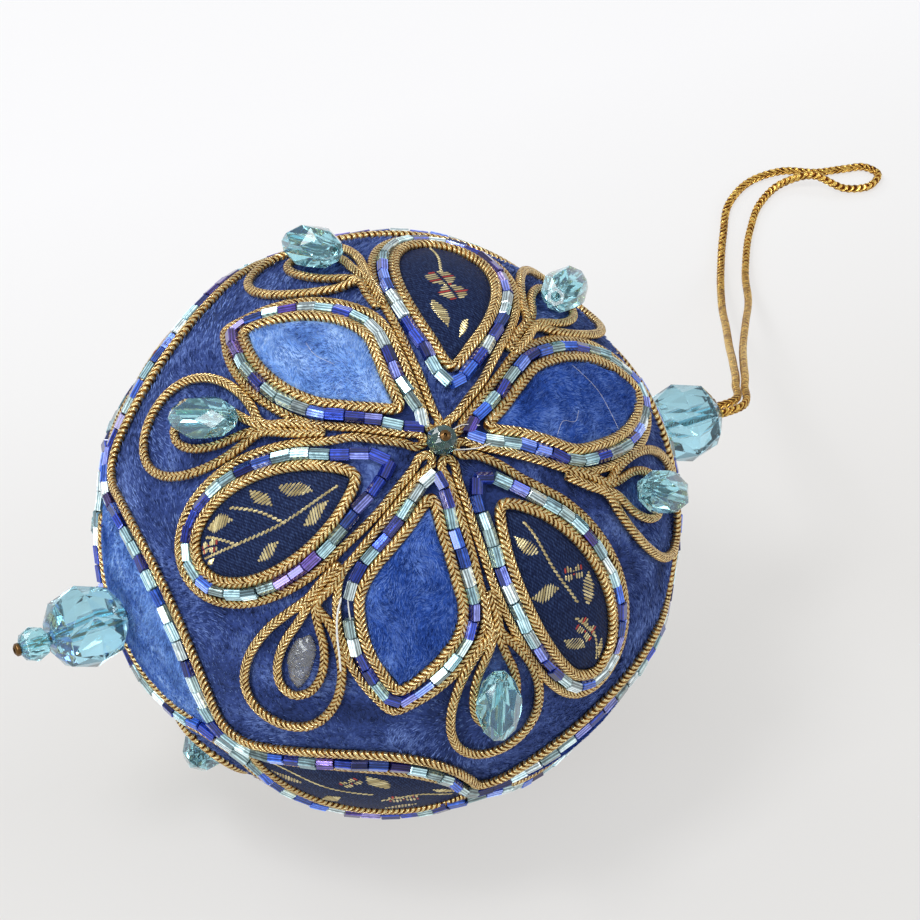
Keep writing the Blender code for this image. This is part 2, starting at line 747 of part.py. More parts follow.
def girdle_panel(number, row):
    """Pointed cloth panel between the two bead rows of the girdle."""
    shares = [k / GIRDLE_SAMPLES for k in range(GIRDLE_SAMPLES + 1)]
    inside = [s for s in shares if min(girdle_width(row, side, s) for side in (1, -1)) > GIRDLE_PANEL_INSET]
    low, high = inside[0], inside[-1]
    height = BALL_RADIUS + PIECE_GAP + SHEET_LIFT
    sheet = bmesh.new()
    grid = []
    for i in range(GIRDLE_STATIONS + 1):
        share = low + (high - low) * i / GIRDLE_STATIONS
        front = max(girdle_width(row, 1, share) - GIRDLE_PANEL_INSET, 0.0)
        back = max(girdle_width(row, -1, share) - GIRDLE_PANEL_INSET, 0.0)
        line = []
        for lane in range(PANEL_LANES + 1):
            offset = front - (front + back) * lane / PANEL_LANES
            line.append(CENTRE + girdle_place(row, share, offset) * height)
        if i in (0, GIRDLE_STATIONS):
            tip = sheet.verts.new(line[PANEL_LANES // 2] * MM)
            grid.append([tip] * (PANEL_LANES + 1))
        else:
            grid.append([sheet.verts.new(p * MM) for p in line])
    for near, far in zip(grid, grid[1:]):
        for lane in range(PANEL_LANES):
            corners = [near[lane], near[lane + 1], far[lane + 1], far[lane]]
            sheet.faces.new(list(dict.fromkeys(corners)))
    return thick_cloth(f"girdle_panel_{number}", sheet, row["cloth"], GIRDLE_THICKNESS)


def pole_beads():
    seat = BALL_RADIUS + PIECE_GAP + GIRDLE_THICKNESS + PIECE_GAP
    finial = seat + FINIAL_LENGTH / 2.0
    faceted_bead("finial_bead", FINIAL_RADIUS, FINIAL_LENGTH, POLE_CUT, CENTRE - BEAD_AXIS * finial, -BEAD_AXIS,
                 "aqua_glass")
    tip = seat + FINIAL_LENGTH + PIECE_GAP + TIP_BEAD_LENGTH / 2.0
    faceted_bead("finial_tip_bead", TIP_BEAD_RADIUS, TIP_BEAD_LENGTH, TIP_CUT, CENTRE - BEAD_AXIS * tip,
                 -BEAD_AXIS, "aqua_glass")
    hanging = seat + HANGING_BEAD_LENGTH / 2.0
    faceted_bead("hanging_bead", HANGING_BEAD_RADIUS, HANGING_BEAD_LENGTH, POLE_CUT, CENTRE + BEAD_AXIS * hanging,
                 BEAD_AXIS, "aqua_glass")


def smooth_route(route, step):
    """Evenly spaced points on a smooth curve through the route."""
    line = [Vector(p) for p in route]
    line = [line[0] * 2.0 - line[1]] + line + [line[-1] * 2.0 - line[-2]]
    dense = []
    for a, b, c, d in zip(line, line[1:], line[2:], line[3:]):
        for i in range(ROUTE_SAMPLES):
            t = i / ROUTE_SAMPLES
            dense.append(0.5 * ((2.0 * b) + (c - a) * t + (2.0 * a - 5.0 * b + 4.0 * c - d) * t ** 2
                                + (3.0 * b - a - 3.0 * c + d) * t ** 3))
    dense.append(line[-2])
    count = int(line_length(dense, closed=False) / step) + 1
    return resample(dense, count, closed=False)


def hanging_cord():
    route = smooth_route(HANG_ROUTE, HANG_STEP)
    return tube_curve("hanging_cord", route, HANG_RADIUS, "gold_cord", closed=False, sides=HANG_SIDES)


def spot_cutter():
    bpy.ops.mesh.primitive_cube_add(size=SPOT_CUTTER_SIZE * MM)
    cutter = bpy.context.object
    cutter.name = "resting_spot_cutter"
    cutter.location = (0.0, 0.0, -SPOT_CUTTER_SIZE / 2.0 * MM)
    for collection in list(cutter.users_collection):
        collection.objects.unlink(cutter)
    CUTTERS.objects.link(cutter)
    cutter.hide_render = True
    cutter.display_type = "WIRE"
    return cutter


for old in list(bpy.data.objects):
    bpy.data.objects.remove(old)

PARTS = make_collection(COLLECTION_NAME)
CUTTERS = make_collection("cutters", hidden=True)
MATERIALS = {name: make_material(name) for name in COLOURS}

spot = spot_cutter()
make_ball()
flower(FRONT, FRONT_PETALS, FRONT_LOOPS, FRONT_CENTRE, spot)
flower(BACK, BACK_PETALS, BACK_LOOPS, BACK_CENTRE, spot)
girdle()
pole_beads()
hanging_cord()
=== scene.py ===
import math

import bpy
import numpy as np
from mathutils import Matrix, Vector


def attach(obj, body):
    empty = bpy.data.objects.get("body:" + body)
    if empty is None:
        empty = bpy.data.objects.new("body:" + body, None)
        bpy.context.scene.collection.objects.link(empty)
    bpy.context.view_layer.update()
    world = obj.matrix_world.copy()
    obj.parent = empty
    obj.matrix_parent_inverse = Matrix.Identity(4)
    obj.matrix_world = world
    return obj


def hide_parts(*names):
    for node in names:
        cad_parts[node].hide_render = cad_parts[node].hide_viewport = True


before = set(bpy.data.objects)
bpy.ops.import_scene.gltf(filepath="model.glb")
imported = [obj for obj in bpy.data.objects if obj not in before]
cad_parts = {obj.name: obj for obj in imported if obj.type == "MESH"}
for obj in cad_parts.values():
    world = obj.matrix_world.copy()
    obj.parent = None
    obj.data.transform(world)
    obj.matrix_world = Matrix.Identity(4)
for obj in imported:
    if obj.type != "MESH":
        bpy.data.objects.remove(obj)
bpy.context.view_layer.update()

mm = 0.001
body = "root"
leastHeight = 0.03  # mm above the floor, for anything that is pressed on it

ball = {"centre": (0.0, 0.0, 37.1), "radius": 36.0, "flowerTilt": 55.5}

ballCentre = np.array(ball["centre"])
flowerTilt = math.radians(ball["flowerTilt"])
beadAxis = np.array((1.0, 0.0, 0.0))
flowerAxis = np.array((0.0, -math.cos(flowerTilt), math.sin(flowerTilt)))
ballSides = {
    "front": (flowerAxis, beadAxis, np.cross(flowerAxis, beadAxis)),
    "back": (-flowerAxis, beadAxis, np.cross(-flowerAxis, beadAxis)),
}

# camera, fitted to the photograph: angles in degrees, lengths in mm, clip in m

photoCamera = {"elevation": 41.8, "azimuth": -27.0, "distance": 1100.0, "lens": 340.0, "right": 9.1, "up": 8.0,
               "clip": (0.05, 40.0)}


def placeCamera():
    e, a = math.radians(photoCamera["elevation"]), math.radians(photoCamera["azimuth"])
    back = Vector((math.sin(a) * math.cos(e), -math.cos(a) * math.cos(e), math.sin(e)))
    right = Vector((math.cos(a), math.sin(a), 0.0))
    up = back.cross(right)
    matrix = Matrix((right, up, back)).transposed().to_4x4()
    matrix.translation = (Vector(ball["centre"]) + right * photoCamera["right"] + up * photoCamera["up"]
                          + back * photoCamera["distance"]) * mm
    lens = bpy.data.cameras.new("photoCamera")
    lens.lens = photoCamera["lens"]
    lens.clip_start, lens.clip_end = photoCamera["clip"]
    view = bpy.data.objects.new("photoCamera", lens)
    view.matrix_world = matrix
    bpy.context.scene.collection.objects.link(view)
    bpy.context.scene.camera = view


placeCamera()
print("camera placed")


# lines and places, all in mm

def normed(vectors):
    return vectors / np.maximum(np.linalg.norm(vectors, axis=-1, keepdims=True), 1e-12)


def layOnBall(side, flat, height):
    # flat pattern places of one side of the ball, laid on the round at a height over the velvet
    axis, along, across = ballSides[side]
    flat = np.asarray(flat, float)
    reach = np.maximum(np.hypot(flat[..., 0], flat[..., 1]), 1e-9)[..., None]
    turn = (flat[..., :1] * along + flat[..., 1:2] * across) / reach
    direction = axis * np.cos(reach / ball["radius"]) + turn * np.sin(reach / ball["radius"])
    return ballCentre + direction * (ball["radius"] + np.asarray(height, float)[..., None])


def evenly(line, step, closed):
    # a closed line has its first point again at the end
    lengths = np.concatenate([[0.0], np.cumsum(np.linalg.norm(np.diff(line, axis=0), axis=1))])
    count = max(int(round(lengths[-1] / step)), 3)
    places = np.linspace(0.0, lengths[-1], count + 1)
    spots = np.column_stack([np.interp(places, lengths, line[:, k]) for k in range(line.shape[1])])
    return spots[:-1] if closed else spots


def smoothLine(points, step, closed):
    # an even line on a smooth curve through the points
    p = np.asarray([tuple(q) for q in points], float)
    following, before = np.roll(p, -1, 0), np.roll(p, 1, 0)
    if not closed:
        following[-1] = 2.0 * p[-1] - p[-2]
        before[0] = 2.0 * p[0] - p[1]
    ahead = np.maximum(np.linalg.norm(following - p, axis=1), 1e-9)[:, None]
    behind = np.maximum(np.linalg.norm(p - before, axis=1), 1e-9)[:, None]
    slope = ((p - before) / behind * ahead + (following - p) / ahead * behind) / (ahead + behind)
    start, end, slopeStart, slopeEnd, span = p, following, slope, np.roll(slope, -1, 0), ahead
    if not closed:
        start, end, slopeStart, slopeEnd, span = (x[:-1] for x in (start, end, slopeStart, slopeEnd, span))
    t = np.linspace(0.0, 1.0, 14, endpoint=False)[None, :, None]
    line = ((2 * t ** 3 - 3 * t ** 2 + 1) * start[:, None]
            + (t ** 3 - 2 * t ** 2 + t) * (span * slopeStart)[:, None]
            + (3 * t ** 2 - 2 * t ** 3) * end[:, None]
            + (t ** 3 - t ** 2) * (span * slopeEnd)[:, None])
    line = line.reshape(-1, p.shape[1])
    return evenly(np.vstack([line, line[:1] if closed else p[-1:]]), step, closed)


def lineLength(points):
    return float(np.linalg.norm(np.diff(points, axis=0), axis=1).sum())


def waves(points, scale, seed, count=10):
    # soft pseudo-noise from about -1 to 1
    chance = np.random.default_rng(seed)
    directions = normed(chance.normal(size=(count, points.shape[1]))) / scale
    shifts = chance.uniform(0.0, 2.0 * math.pi, count)
    return np.sin(points @ directions.T * 2.0 * math.pi + shifts).mean(axis=1) * 2.2


# meshes

def makePiece(name, points, faces, material, uv=None, values=None, smooth=True):
    points = np.array(points, float) * mm
    points[:, 2] = np.maximum(points[:, 2], leastHeight * mm)
    faces = np.asarray(faces, dtype=np.int32)
    count, corners = faces.shape
    mesh = bpy.data.meshes.new(name)
    mesh.vertices.add(len(points))
    mesh.vertices.foreach_set("co", points.ravel())
    mesh.loops.add(count * corners)
    mesh.loops.foreach_set("vertex_index", faces.ravel())
    mesh.polygons.add(count)
    mesh.polygons.foreach_set("loop_start", np.arange(count, dtype=np.int32) * corners)
    mesh.polygons.foreach_set("use_smooth", np.full(count, smooth))
    mesh.update(calc_edges=True)
    if uv is not None:
        layer = mesh.uv_layers.new(name="UVMap")
        layer.data.foreach_set("uv", np.asarray(uv, float).ravel())
    for label, data in (values or {}).items():
        data = np.asarray(data, float)
        kind = "FLOAT" if data.ndim == 1 else "FLOAT_COLOR"
        attribute = mesh.attributes.new(label, kind, "FACE" if len(data) == count else "POINT")
        attribute.data.foreach_set("value" if data.ndim == 1 else "color", data.ravel())
    mesh.materials.append(material)
    piece = bpy.data.objects.new(name, mesh)
    bpy.context.scene.collection.objects.link(piece)
    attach(piece, body)
    return piece


def makeFromPart(name, part, material, shade=None):
    # part is (points, faces, uv, values), shade one value for the whole piece
    values = part[3] if shade is None else {"shade": np.full(len(part[0]), shade)}
    return makePiece(name, part[0], part[1], material, part[2], values)


def joinParts(parts):
    # parts are (points, faces, uv, values), joined into one set
    points, faces, uvs, values, shift = [], [], [], {}, 0
    for part in parts:
        points.append(part[0])
        faces.append(np.asarray(part[1]) + shift)
        shift += len(part[0])
        if part[2] is not None:
            uvs.append(part[2])
        for label, data in (part[3] or {}).items():
            values.setdefault(label, []).append(data)
    return (np.vstack(points), np.vstack(faces), np.vstack(uvs) if uvs else None,
            {label: np.concatenate(data) for label, data in values.items()})


def deselectAll():
    if bpy.context.object and bpy.context.object.mode != "OBJECT":
        bpy.ops.object.mode_set(mode="OBJECT")
    bpy.ops.object.select_all(action="DESELECT")


def selectFaces(thing, rule):
    # in edit mode, selects the faces whose centre and normal pass the rule
    bpy.ops.mesh.select_all(action="DESELECT")
    bpy.ops.object.mode_set(mode="OBJECT")
    for face in thing.data.polygons:
        face.select = bool(rule(face.center / mm, face.normal))
    bpy.ops.object.mode_set(mode="EDIT")
    bpy.ops.mesh.select_mode(type="FACE")


# materials, in which a source is a (node, output) pair

def addNode(tree, kind, **settings):
    node = tree.nodes.new("ShaderNode" + kind)
    for name, value in settings.items():
        if name.startswith("in_"):
            key = name[3:]
            node.inputs[int(key) if key.isdigit() else key.replace("_", " ")].default_value = value
        else:
            setattr(node, name, value)
    return node


def link(tree, source, target, slot):
    # gives the target's own first output, to link on
    tree.links.new(source[0].outputs[source[1]], target.inputs[slot])
    return target, 0


def rampNode(tree, source, stops):
    node = addNode(tree, "ValToRGB")
    ramp = node.color_ramp
    while len(ramp.elements) < len(stops):
        ramp.elements.new(0.5)
    for element, (place, colour) in zip(ramp.elements, stops):
        element.position = place
        element.color = (*colour, 1.0)
    return link(tree, source, node, 0)


def mathNode(tree, operation, *values):
    # each value is a number or a source
    node = addNode(tree, "Math", operation=operation)
    for slot, value in enumerate(values):
        if isinstance(value, tuple):
            link(tree, value, node, slot)
        else:
            node.inputs[slot].default_value = value
    return node, 0


def rangeNode(tree, source, low, high, toLow=0.0, toHigh=1.0):
    return link(tree, source, addNode(tree, "MapRange", in_1=low, in_2=high, in_3=toLow, in_4=toHigh), 0)


def noiseNode(tree, source, **settings):
    return link(tree, source, addNode(tree, "TexNoise", **settings), "Vector")


def objectPlace(tree):
    return addNode(tree, "TexCoord"), "Object"


def ownMap(tree):
    return addNode(tree, "UVMap", uv_map="UVMap"), 0


def ownValue(tree, name, output="Fac"):
    return addNode(tree, "Attribute", attribute_name=name), output


def bumpNode(tree, source, shader, strength, distance):
    bump = addNode(tree, "Bump", in_Strength=strength, in_Distance=distance)
    link(tree, link(tree, source, bump, "Height"), shader, "Normal")


def newMaterial(name, **settings):
    material = bpy.data.materials.new(name)
    material.use_nodes = True
    tree = material.node_tree
    shader = tree.nodes["Principled BSDF"]
    for key, value in settings.items():
        shader.inputs[key.replace("_", " ")].default_value = value
    return material, tree, shader


def newGroup(name, inputs, outputs):
    group = bpy.data.node_groups.new(name, "ShaderNodeTree")
    for label, kind, value in inputs:
        socket = group.interface.new_socket(name=label, in_out="INPUT", socket_type="NodeSocket" + kind)
        if value is not None:
            socket.default_value = value
    for label, kind in outputs:
        group.interface.new_socket(name=label, in_out="OUTPUT", socket_type="NodeSocket" + kind)
    return group, group.nodes.new("NodeGroupInput"), group.nodes.new("NodeGroupOutput")


plaitSlant = 1.15  # how far a strand runs on while it crosses half the cord, in plaits


def plaitGroup():
    # chevrons of a round plait, from a UV map with u round the cord and v one plait long. Crest is the strands'
    # relief; the colour also uses it for painted shade in the grooves and painted highlight on the crests
    group, start, end = newGroup("plaitWeave", [("UV", "Vector", None), ("Slant", "Float", plaitSlant)],
                                 [("Crest", "Float"), ("Height", "Float"), ("Worn", "Float")])
    split = addNode(group, "SeparateXYZ")
    link(group, (start, "UV"), split, 0)
    across = mathNode(group, "COSINE", mathNode(group, "MULTIPLY", (split, 0), 2.0 * math.pi))
    side = mathNode(group, "ABSOLUTE", across)
    slanted = mathNode(group, "MULTIPLY", side, (start, "Slant"))
    half = mathNode(group, "MULTIPLY_ADD", mathNode(group, "GREATER_THAN", across, 0.0), 0.5, (split, 1))
    phase = mathNode(group, "ADD", half, slanted)
    wave = mathNode(group, "COSINE", mathNode(group, "MULTIPLY", phase, 2.0 * math.pi))
    strands = mathNode(group, "SINE", mathNode(group, "MULTIPLY", phase, 10.0 * math.pi))
    # lower along the middle line of the cord, where the chevrons meet: a dip in the bump, and painted shade
    # where the colour reads Crest
    seamDipAndShade = mathNode(group, "MULTIPLY_ADD", rangeNode(group, side, 0.0, 0.12), 0.45, 0.55)
    crest = mathNode(group, "MULTIPLY", rangeNode(group, wave, -1.0, 1.0), seamDipAndShade)
    link(group, crest, end, "Crest")
    link(group, mathNode(group, "MULTIPLY_ADD", strands, 0.10, crest), end, "Height")
    link(group, noiseNode(group, (start, "UV"), in_Scale=2.1, in_Detail=3.0), end, "Worn")
    return group


def pileGroup():
    # brushed and crushed pile: light and dark strokes, painted sheen where the pile catches or loses the light,
    # and a fine height
    group, start, end = newGroup("brushedPile", [("Vector", "Vector", None), ("Patch Scale", "Float", 90.0),
                                                 ("Stroke Scale", "Float", 900.0)],
                                 [("Light", "Float"), ("Height", "Float")])
    patches = noiseNode(group, (start, "Vector"), in_Detail=3.0, in_Roughness=0.6, in_Distortion=0.8)
    strokes = noiseNode(group, (start, "Vector"), in_Detail=3.0, in_Roughness=0.7, in_Distortion=1.6)
    link(group, (start, "Patch Scale"), patches[0], "Scale")
    link(group, (start, "Stroke Scale"), strokes[0], "Scale")
    mix = mathNode(group, "MULTIPLY_ADD", strokes, 0.55, mathNode(group, "MULTIPLY", patches, 0.45))
    link(group, rangeNode(group, mix, 0.36, 0.64), end, "Light")
    link(group, strokes, end, "Height")
    return group


plaitWeave = plaitGroup()
brushedPile = pileGroup()


def plaitMaterial(name, dark, middle, paintedHighlight, roughness, sparkle):
    # the colour is painted light: painted shade in the grooves between strands, painted highlight on their
    # crests, and painted glints in small random cells as strong as sparkle; Worn adds uneven tone
    material, tree, shader = newMaterial(name, Metallic=0.86, Roughness=roughness)
    weave = addNode(tree, "Group", node_tree=plaitWeave)
    link(tree, ownMap(tree), weave, "UV")
    crest = mathNode(tree, "SUBTRACT", (weave, "Crest"), 0.60)
    tone = mathNode(tree, "MULTIPLY_ADD", (weave, "Worn"), 1.3, crest)
    # small cells lighter or darker by chance: painted glints
    glintCells = addNode(tree, "TexVoronoi", in_Scale=1700.0)
    link(tree, objectPlace(tree), glintCells, "Vector")
    duller = mathNode(tree, "SUBTRACT", tone, sparkle * 0.5)
    tone = mathNode(tree, "MULTIPLY_ADD", (glintCells, "Color"), sparkle, duller)
    link(tree, rampNode(tree, tone, [(0.03, dark), (0.36, middle), (0.74, paintedHighlight)]), shader, "Base Color")
    bumpNode(tree, (weave, "Height"), shader, strength=0.9, distance=0.00022)
    rough = rangeNode(tree, (weave, "Crest"), 0.0, 1.0, 0.62, roughness - 0.08)
    link(tree, rough, shader, "Roughness")
    return material


def pileMaterial(name, dark, middle, light, patch, stroke, sheen):
    material, tree, shader = newMaterial(name, Roughness=0.92, Sheen_Weight=sheen, Sheen_Roughness=0.42,
                                         Sheen_Tint=(*light, 1.0), Specular_IOR_Level=0.15)
    nap = addNode(tree, "Group", node_tree=brushedPile, in_Patch_Scale=patch, in_Stroke_Scale=stroke)
    link(tree, objectPlace(tree), nap, "Vector")
    # the shade attribute is uneven tone, on fibres with painted shade at the root and painted light at the tip;
    # it is mixed with the pile's painted sheen
    shade = mathNode(tree, "MULTIPLY", ownValue(tree, "shade"), 0.55)
    tone = mathNode(tree, "MULTIPLY_ADD", (nap, "Light"), 0.45, shade)
    link(tree, rampNode(tree, tone, [(0.0, dark), (0.45, middle), (1.0, light)]), shader, "Base Color")
    bumpNode(tree, (nap, "Height"), shader, strength=0.5, distance=0.0002)
    return material


def brocadeMaterial():
    # satin ground: fine warp ribs that catch the light, both in the bump and as painted lighter bands in the
    # colour
    material, tree, shader = newMaterial("navyBrocade", Roughness=0.5, Specular_IOR_Level=0.06)
    cloth = ownMap(tree)
    ribs = addNode(tree, "TexWave", wave_type="BANDS", bands_direction="DIAGONAL", in_Scale=1.15,
                   in_Distortion=0.5, in_Detail=1.0)
    link(tree, cloth, ribs, "Vector")
    turned = addNode(tree, "Mapping", in_Rotation=(0.0, 0.0, 0.7), in_Scale=(5.5, 1.3, 1.0))
    cross = noiseNode(tree, link(tree, cloth, turned, "Vector"), in_Scale=1.0, in_Detail=3.0, in_Roughness=0.6)
    both = mathNode(tree, "MULTIPLY_ADD", (ribs, "Fac"), 0.14, mathNode(tree, "MULTIPLY", cross, 0.95))
    stops = [(0.30, (0.003, 0.005, 0.016)), (0.55, (0.010, 0.018, 0.062)), (0.78, (0.036, 0.064, 0.16))]
    link(tree, rampNode(tree, both, stops), shader, "Base Color")
    bumpNode(tree, both, shader, strength=0.6, distance=0.0001)
    return material


def threadMaterial(name, dark, light, metallic, roughness):
    material, tree, shader = newMaterial(name, Metallic=metallic, Roughness=roughness)
    tone = rampNode(tree, ownValue(tree, "shade"), [(0.0, dark), (1.0, light)])
    link(tree, tone, shader, "Base Color")
    fibre = noiseNode(tree, objectPlace(tree), in_Scale=4200.0, in_Detail=2.0)
    bumpNode(tree, fibre, shader, strength=0.5, distance=0.00008)
    return material


# painted highlight and shade: lines of painted highlight along the corners of a cut tube and down the middle of
# its facets, darker between
paintedGlassStreaks = ((0.0, 0.85), (0.10, 0.42), (0.26, 0.26), (0.36, 0.34), (0.43, 0.95), (0.50, 0.90), (0.57, 0.30),
                (0.78, 0.24), (0.90, 0.44), (1.0, 1.0))


def beadRowMaterial():
    # cut glass tubes, lined with silver or with a lustre coat
    material, tree, shader = newMaterial("glassTubeBeads", Metallic=0.50, Roughness=0.16, Coat_Weight=0.9,
                                         Coat_Roughness=0.04, Coat_IOR=1.55)
    cloud = noiseNode(tree, objectPlace(tree), in_Scale=1100.0, in_Detail=2.0, in_Roughness=0.6)
    # painted streaks across each tube from the across attribute; the tint attribute carries each facet's
    # painted shade or highlight and painted glints
    across = mathNode(tree, "SUBTRACT", ownValue(tree, "across"), 0.11)
    drift = mathNode(tree, "MULTIPLY_ADD", cloud, 0.22, across)
    streaks = rampNode(tree, drift, [(place, (grey, grey, grey)) for place, grey in paintedGlassStreaks])
    tinted = addNode(tree, "VectorMath", operation="SCALE")
    link(tree, ownValue(tree, "tint", "Color"), tinted, 0)
    link(tree, mathNode(tree, "MULTIPLY", rangeNode(tree, cloud, 0.3, 0.7, 1.3, 2.7), streaks), tinted, "Scale")
    link(tree, (tinted, 0), shader, "Base Color")
    link(tree, rangeNode(tree, cloud, 0.3, 0.7, 0.05, 0.24), shader, "Roughness")
    return material


def cutGlassMaterial(name, colour, roughness, wear, clear):
    # wear is how much darker the hazy patches are
    material, tree, shader = newMaterial(name, Transmission_Weight=clear, Roughness=roughness, IOR=1.56,
                                         Coat_Weight=0.25, Coat_Roughness=0.02)
    haze = noiseNode(tree, objectPlace(tree), in_Scale=420.0, in_Detail=2.0)
    tone = rampNode(tree, haze, [(0.3, tuple(c * wear for c in colour)), (0.7, colour)])
    link(tree, tone, shader, "Base Color")
    link(tree, rangeNode(tree, haze, 0.35, 0.75, roughness, roughness + 0.025), shader, "Roughness")
    return material


def floorMaterial():
    # a pale table, paler toward the back, that glows: painted light in its emission stands in for very soft
    # light
    material, tree, shader = newMaterial("paleFloor", Roughness=0.75, Specular_IOR_Level=0.1,
                                         Emission_Strength=1.0)
    cloud = noiseNode(tree, objectPlace(tree), in_Scale=6.0, in_Detail=2.0)
    tone = rampNode(tree, cloud, list(zip((0.3, 0.7), studio["floorColours"])))
    link(tree, tone, shader, "Base Color")
    split = addNode(tree, "SeparateXYZ")
    link(tree, objectPlace(tree), split, 0)
    depth = mathNode(tree, "MULTIPLY_ADD", (split, 0), 0.135, (split, 1))
    # the glow is painted light, stronger toward the back
    glow = rampNode(tree, rangeNode(tree, depth, -0.02, 0.12), studio["floorGlow"])
    link(tree, glow, shader, "Emission Color")
    return material


goldCord = plaitMaterial("goldPlait", dark=(0.036, 0.009, 0.001), middle=(0.62, 0.26, 0.036),
                         paintedHighlight=(1.0, 0.83, 0.42), roughness=0.20, sparkle=0.35)
greyCord = plaitMaterial("greyPlait", dark=(0.02, 0.03, 0.03), middle=(0.14, 0.19, 0.17),
                         paintedHighlight=(0.55, 0.62, 0.56), roughness=0.30, sparkle=0.3)
glitterCord = plaitMaterial("glitterPlait", dark=(0.11, 0.028, 0.002), middle=(0.50, 0.18, 0.018),
                            paintedHighlight=(1.0, 0.68, 0.17), roughness=0.20, sparkle=1.05)
navyVelvet = pileMaterial("navyVelvet", dark=(0.002, 0.004, 0.018), middle=(0.034, 0.063, 0.238),
                          light=(0.27, 0.41, 0.88), patch=95.0, stroke=1100.0, sheen=0.32)
skyFelt = pileMaterial("skyFelt", dark=(0.032, 0.100, 0.350), middle=(0.155, 0.320, 0.740),
                       light=(0.52, 0.72, 0.98), patch=150.0, stroke=1500.0, sheen=0.35)
blueFelt = pileMaterial("blueFelt", dark=(0.003, 0.014, 0.100), middle=(0.026, 0.084, 0.400),
                        light=(0.20, 0.34, 0.76), patch=150.0, stroke=1500.0, sheen=0.2)
navyBrocade = brocadeMaterial()
goldThread = threadMaterial("goldThread", (0.28, 0.20, 0.07), (0.85, 0.74, 0.42), metallic=0.75,
                            roughness=0.34)
redThread = threadMaterial("redThread", (0.16, 0.012, 0.010), (0.52, 0.05, 0.035), metallic=0.1,
                           roughness=0.45)
whiteThread = threadMaterial("whiteThread", (0.62, 0.62, 0.60), (0.85, 0.85, 0.84), metallic=0.0,
                             roughness=0.6)
greyThread = threadMaterial("greyThread", (0.10, 0.16, 0.15), (0.30, 0.38, 0.36), metallic=0.0,
                            roughness=0.6)
bronzeMetal = threadMaterial("bronzeMetal", (0.16, 0.085, 0.03), (0.50, 0.33, 0.15), metallic=0.9,
                             roughness=0.32)
glassTubes = beadRowMaterial()
aquaGlass = cutGlassMaterial("aquaGlass", (0.47, 0.90, 1.0), roughness=0.0, wear=0.90, clear=0.92)
skyGlass = cutGlassMaterial("skyGlass", (0.46, 0.84, 0.98), roughness=0.0, wear=0.88, clear=0.94)
smokeGlass = cutGlassMaterial("smokeGlass", (0.26, 0.46, 0.42), roughness=0.02, wear=0.7, clear=0.85)
driedGlue = cutGlassMaterial("driedGlue", (0.78, 0.80, 0.82), roughness=0.12, wear=0.8, clear=0.86)
print("materials made")


# cords

cordEnd = {"drawnIn": 0.55, "step": 0.05, "tip": 0.15, "mapPlace": 0.25}


def cordPart(line, outward, radius, closed, pitch=0.74, sides=10, flatness=0.94, depth=0.07):
    # a plaited cord along a line, in quads alone, with one outward vector per point
    count = len(line)
    if closed:
        tangent = normed(np.roll(line, -1, 0) - np.roll(line, 1, 0))
        spans = np.linalg.norm(np.roll(line, -1, 0) - line, axis=1)
    else:
        tangent = normed(np.gradient(line, axis=0))
        spans = np.linalg.norm(np.diff(line, axis=0), axis=1)
    run = np.concatenate([[0.0], np.cumsum(spans)])
    plaits = run / pitch * (round(run[-1] / pitch) / (run[-1] / pitch))
    side = normed(np.cross(tangent, outward))
    up = np.cross(side, tangent)
    angle = np.linspace(0.0, 2.0 * math.pi, sides, endpoint=False)
    cosine, sine = np.cos(angle)[None, :], np.sin(angle)[None, :]
    crest = 0.5 + 0.5 * np.cos(2.0 * math.pi * (plaits[:count, None] + plaitSlant * np.abs(cosine)))
    groove = 1.0 - 0.10 * np.exp(-(cosine / 0.3) ** 2)
    radii = radius * groove * (1.0 - depth * (1.0 - crest))
    points = (line[:, None, :] + side[:, None, :] * (cosine * radii)[..., None]
              + up[:, None, :] * (sine * radii * flatness)[..., None]).reshape(-1, 3)
    rings = np.arange(count if closed else count - 1)
    lanes = np.arange(sides)
    near, far = rings[:, None] * sides, ((rings + 1) % count)[:, None] * sides
    nextLane = (lanes + 1) % sides
    faces = np.stack([near + lanes, near + nextLane, far + nextLane, far + lanes], axis=-1).reshape(-1, 4)
    u0, u1 = lanes / sides, (lanes + 1) / sides
    v0, v1 = plaits[rings][:, None], plaits[rings + 1][:, None]
    corners = ((u0, v0), (u1, v0), (u1, v1), (u0, v1))
    uv = np.stack([np.stack(np.broadcast_arrays(u[None], v), -1) for u, v in corners], axis=2).reshape(-1, 2)
    if closed:
        return points, faces, uv, None
    for end, step in ((0, -cordEnd["step"]), (count - 1, cordEnd["step"])):
        ring = slice(end * sides, (end + 1) * sides)
        points[ring] = line[end] + (points[ring] - line[end]) * cordEnd["drawnIn"] + tangent[end] * step
    tips = line[[0, -1]] + tangent[[0, -1]] * np.array([[-cordEnd["tip"]], [cordEnd["tip"]]])
    tip = np.full(sides // 2, len(points))
    last = (count - 1) * sides
    pairs = lanes[::2]
    after = (pairs + 2) % sides
    caps = np.vstack([np.stack([tip, after, pairs + 1, pairs], axis=-1),
                      np.stack([tip + 1, last + pairs, last + pairs + 1, last + after], axis=-1)])
    capUv = np.zeros((len(caps) * 4, 2))
    capUv[:, 1] = cordEnd["mapPlace"]
    return np.vstack([points, tips]), np.vstack([faces, caps]), np.vstack([uv, capUv]), None


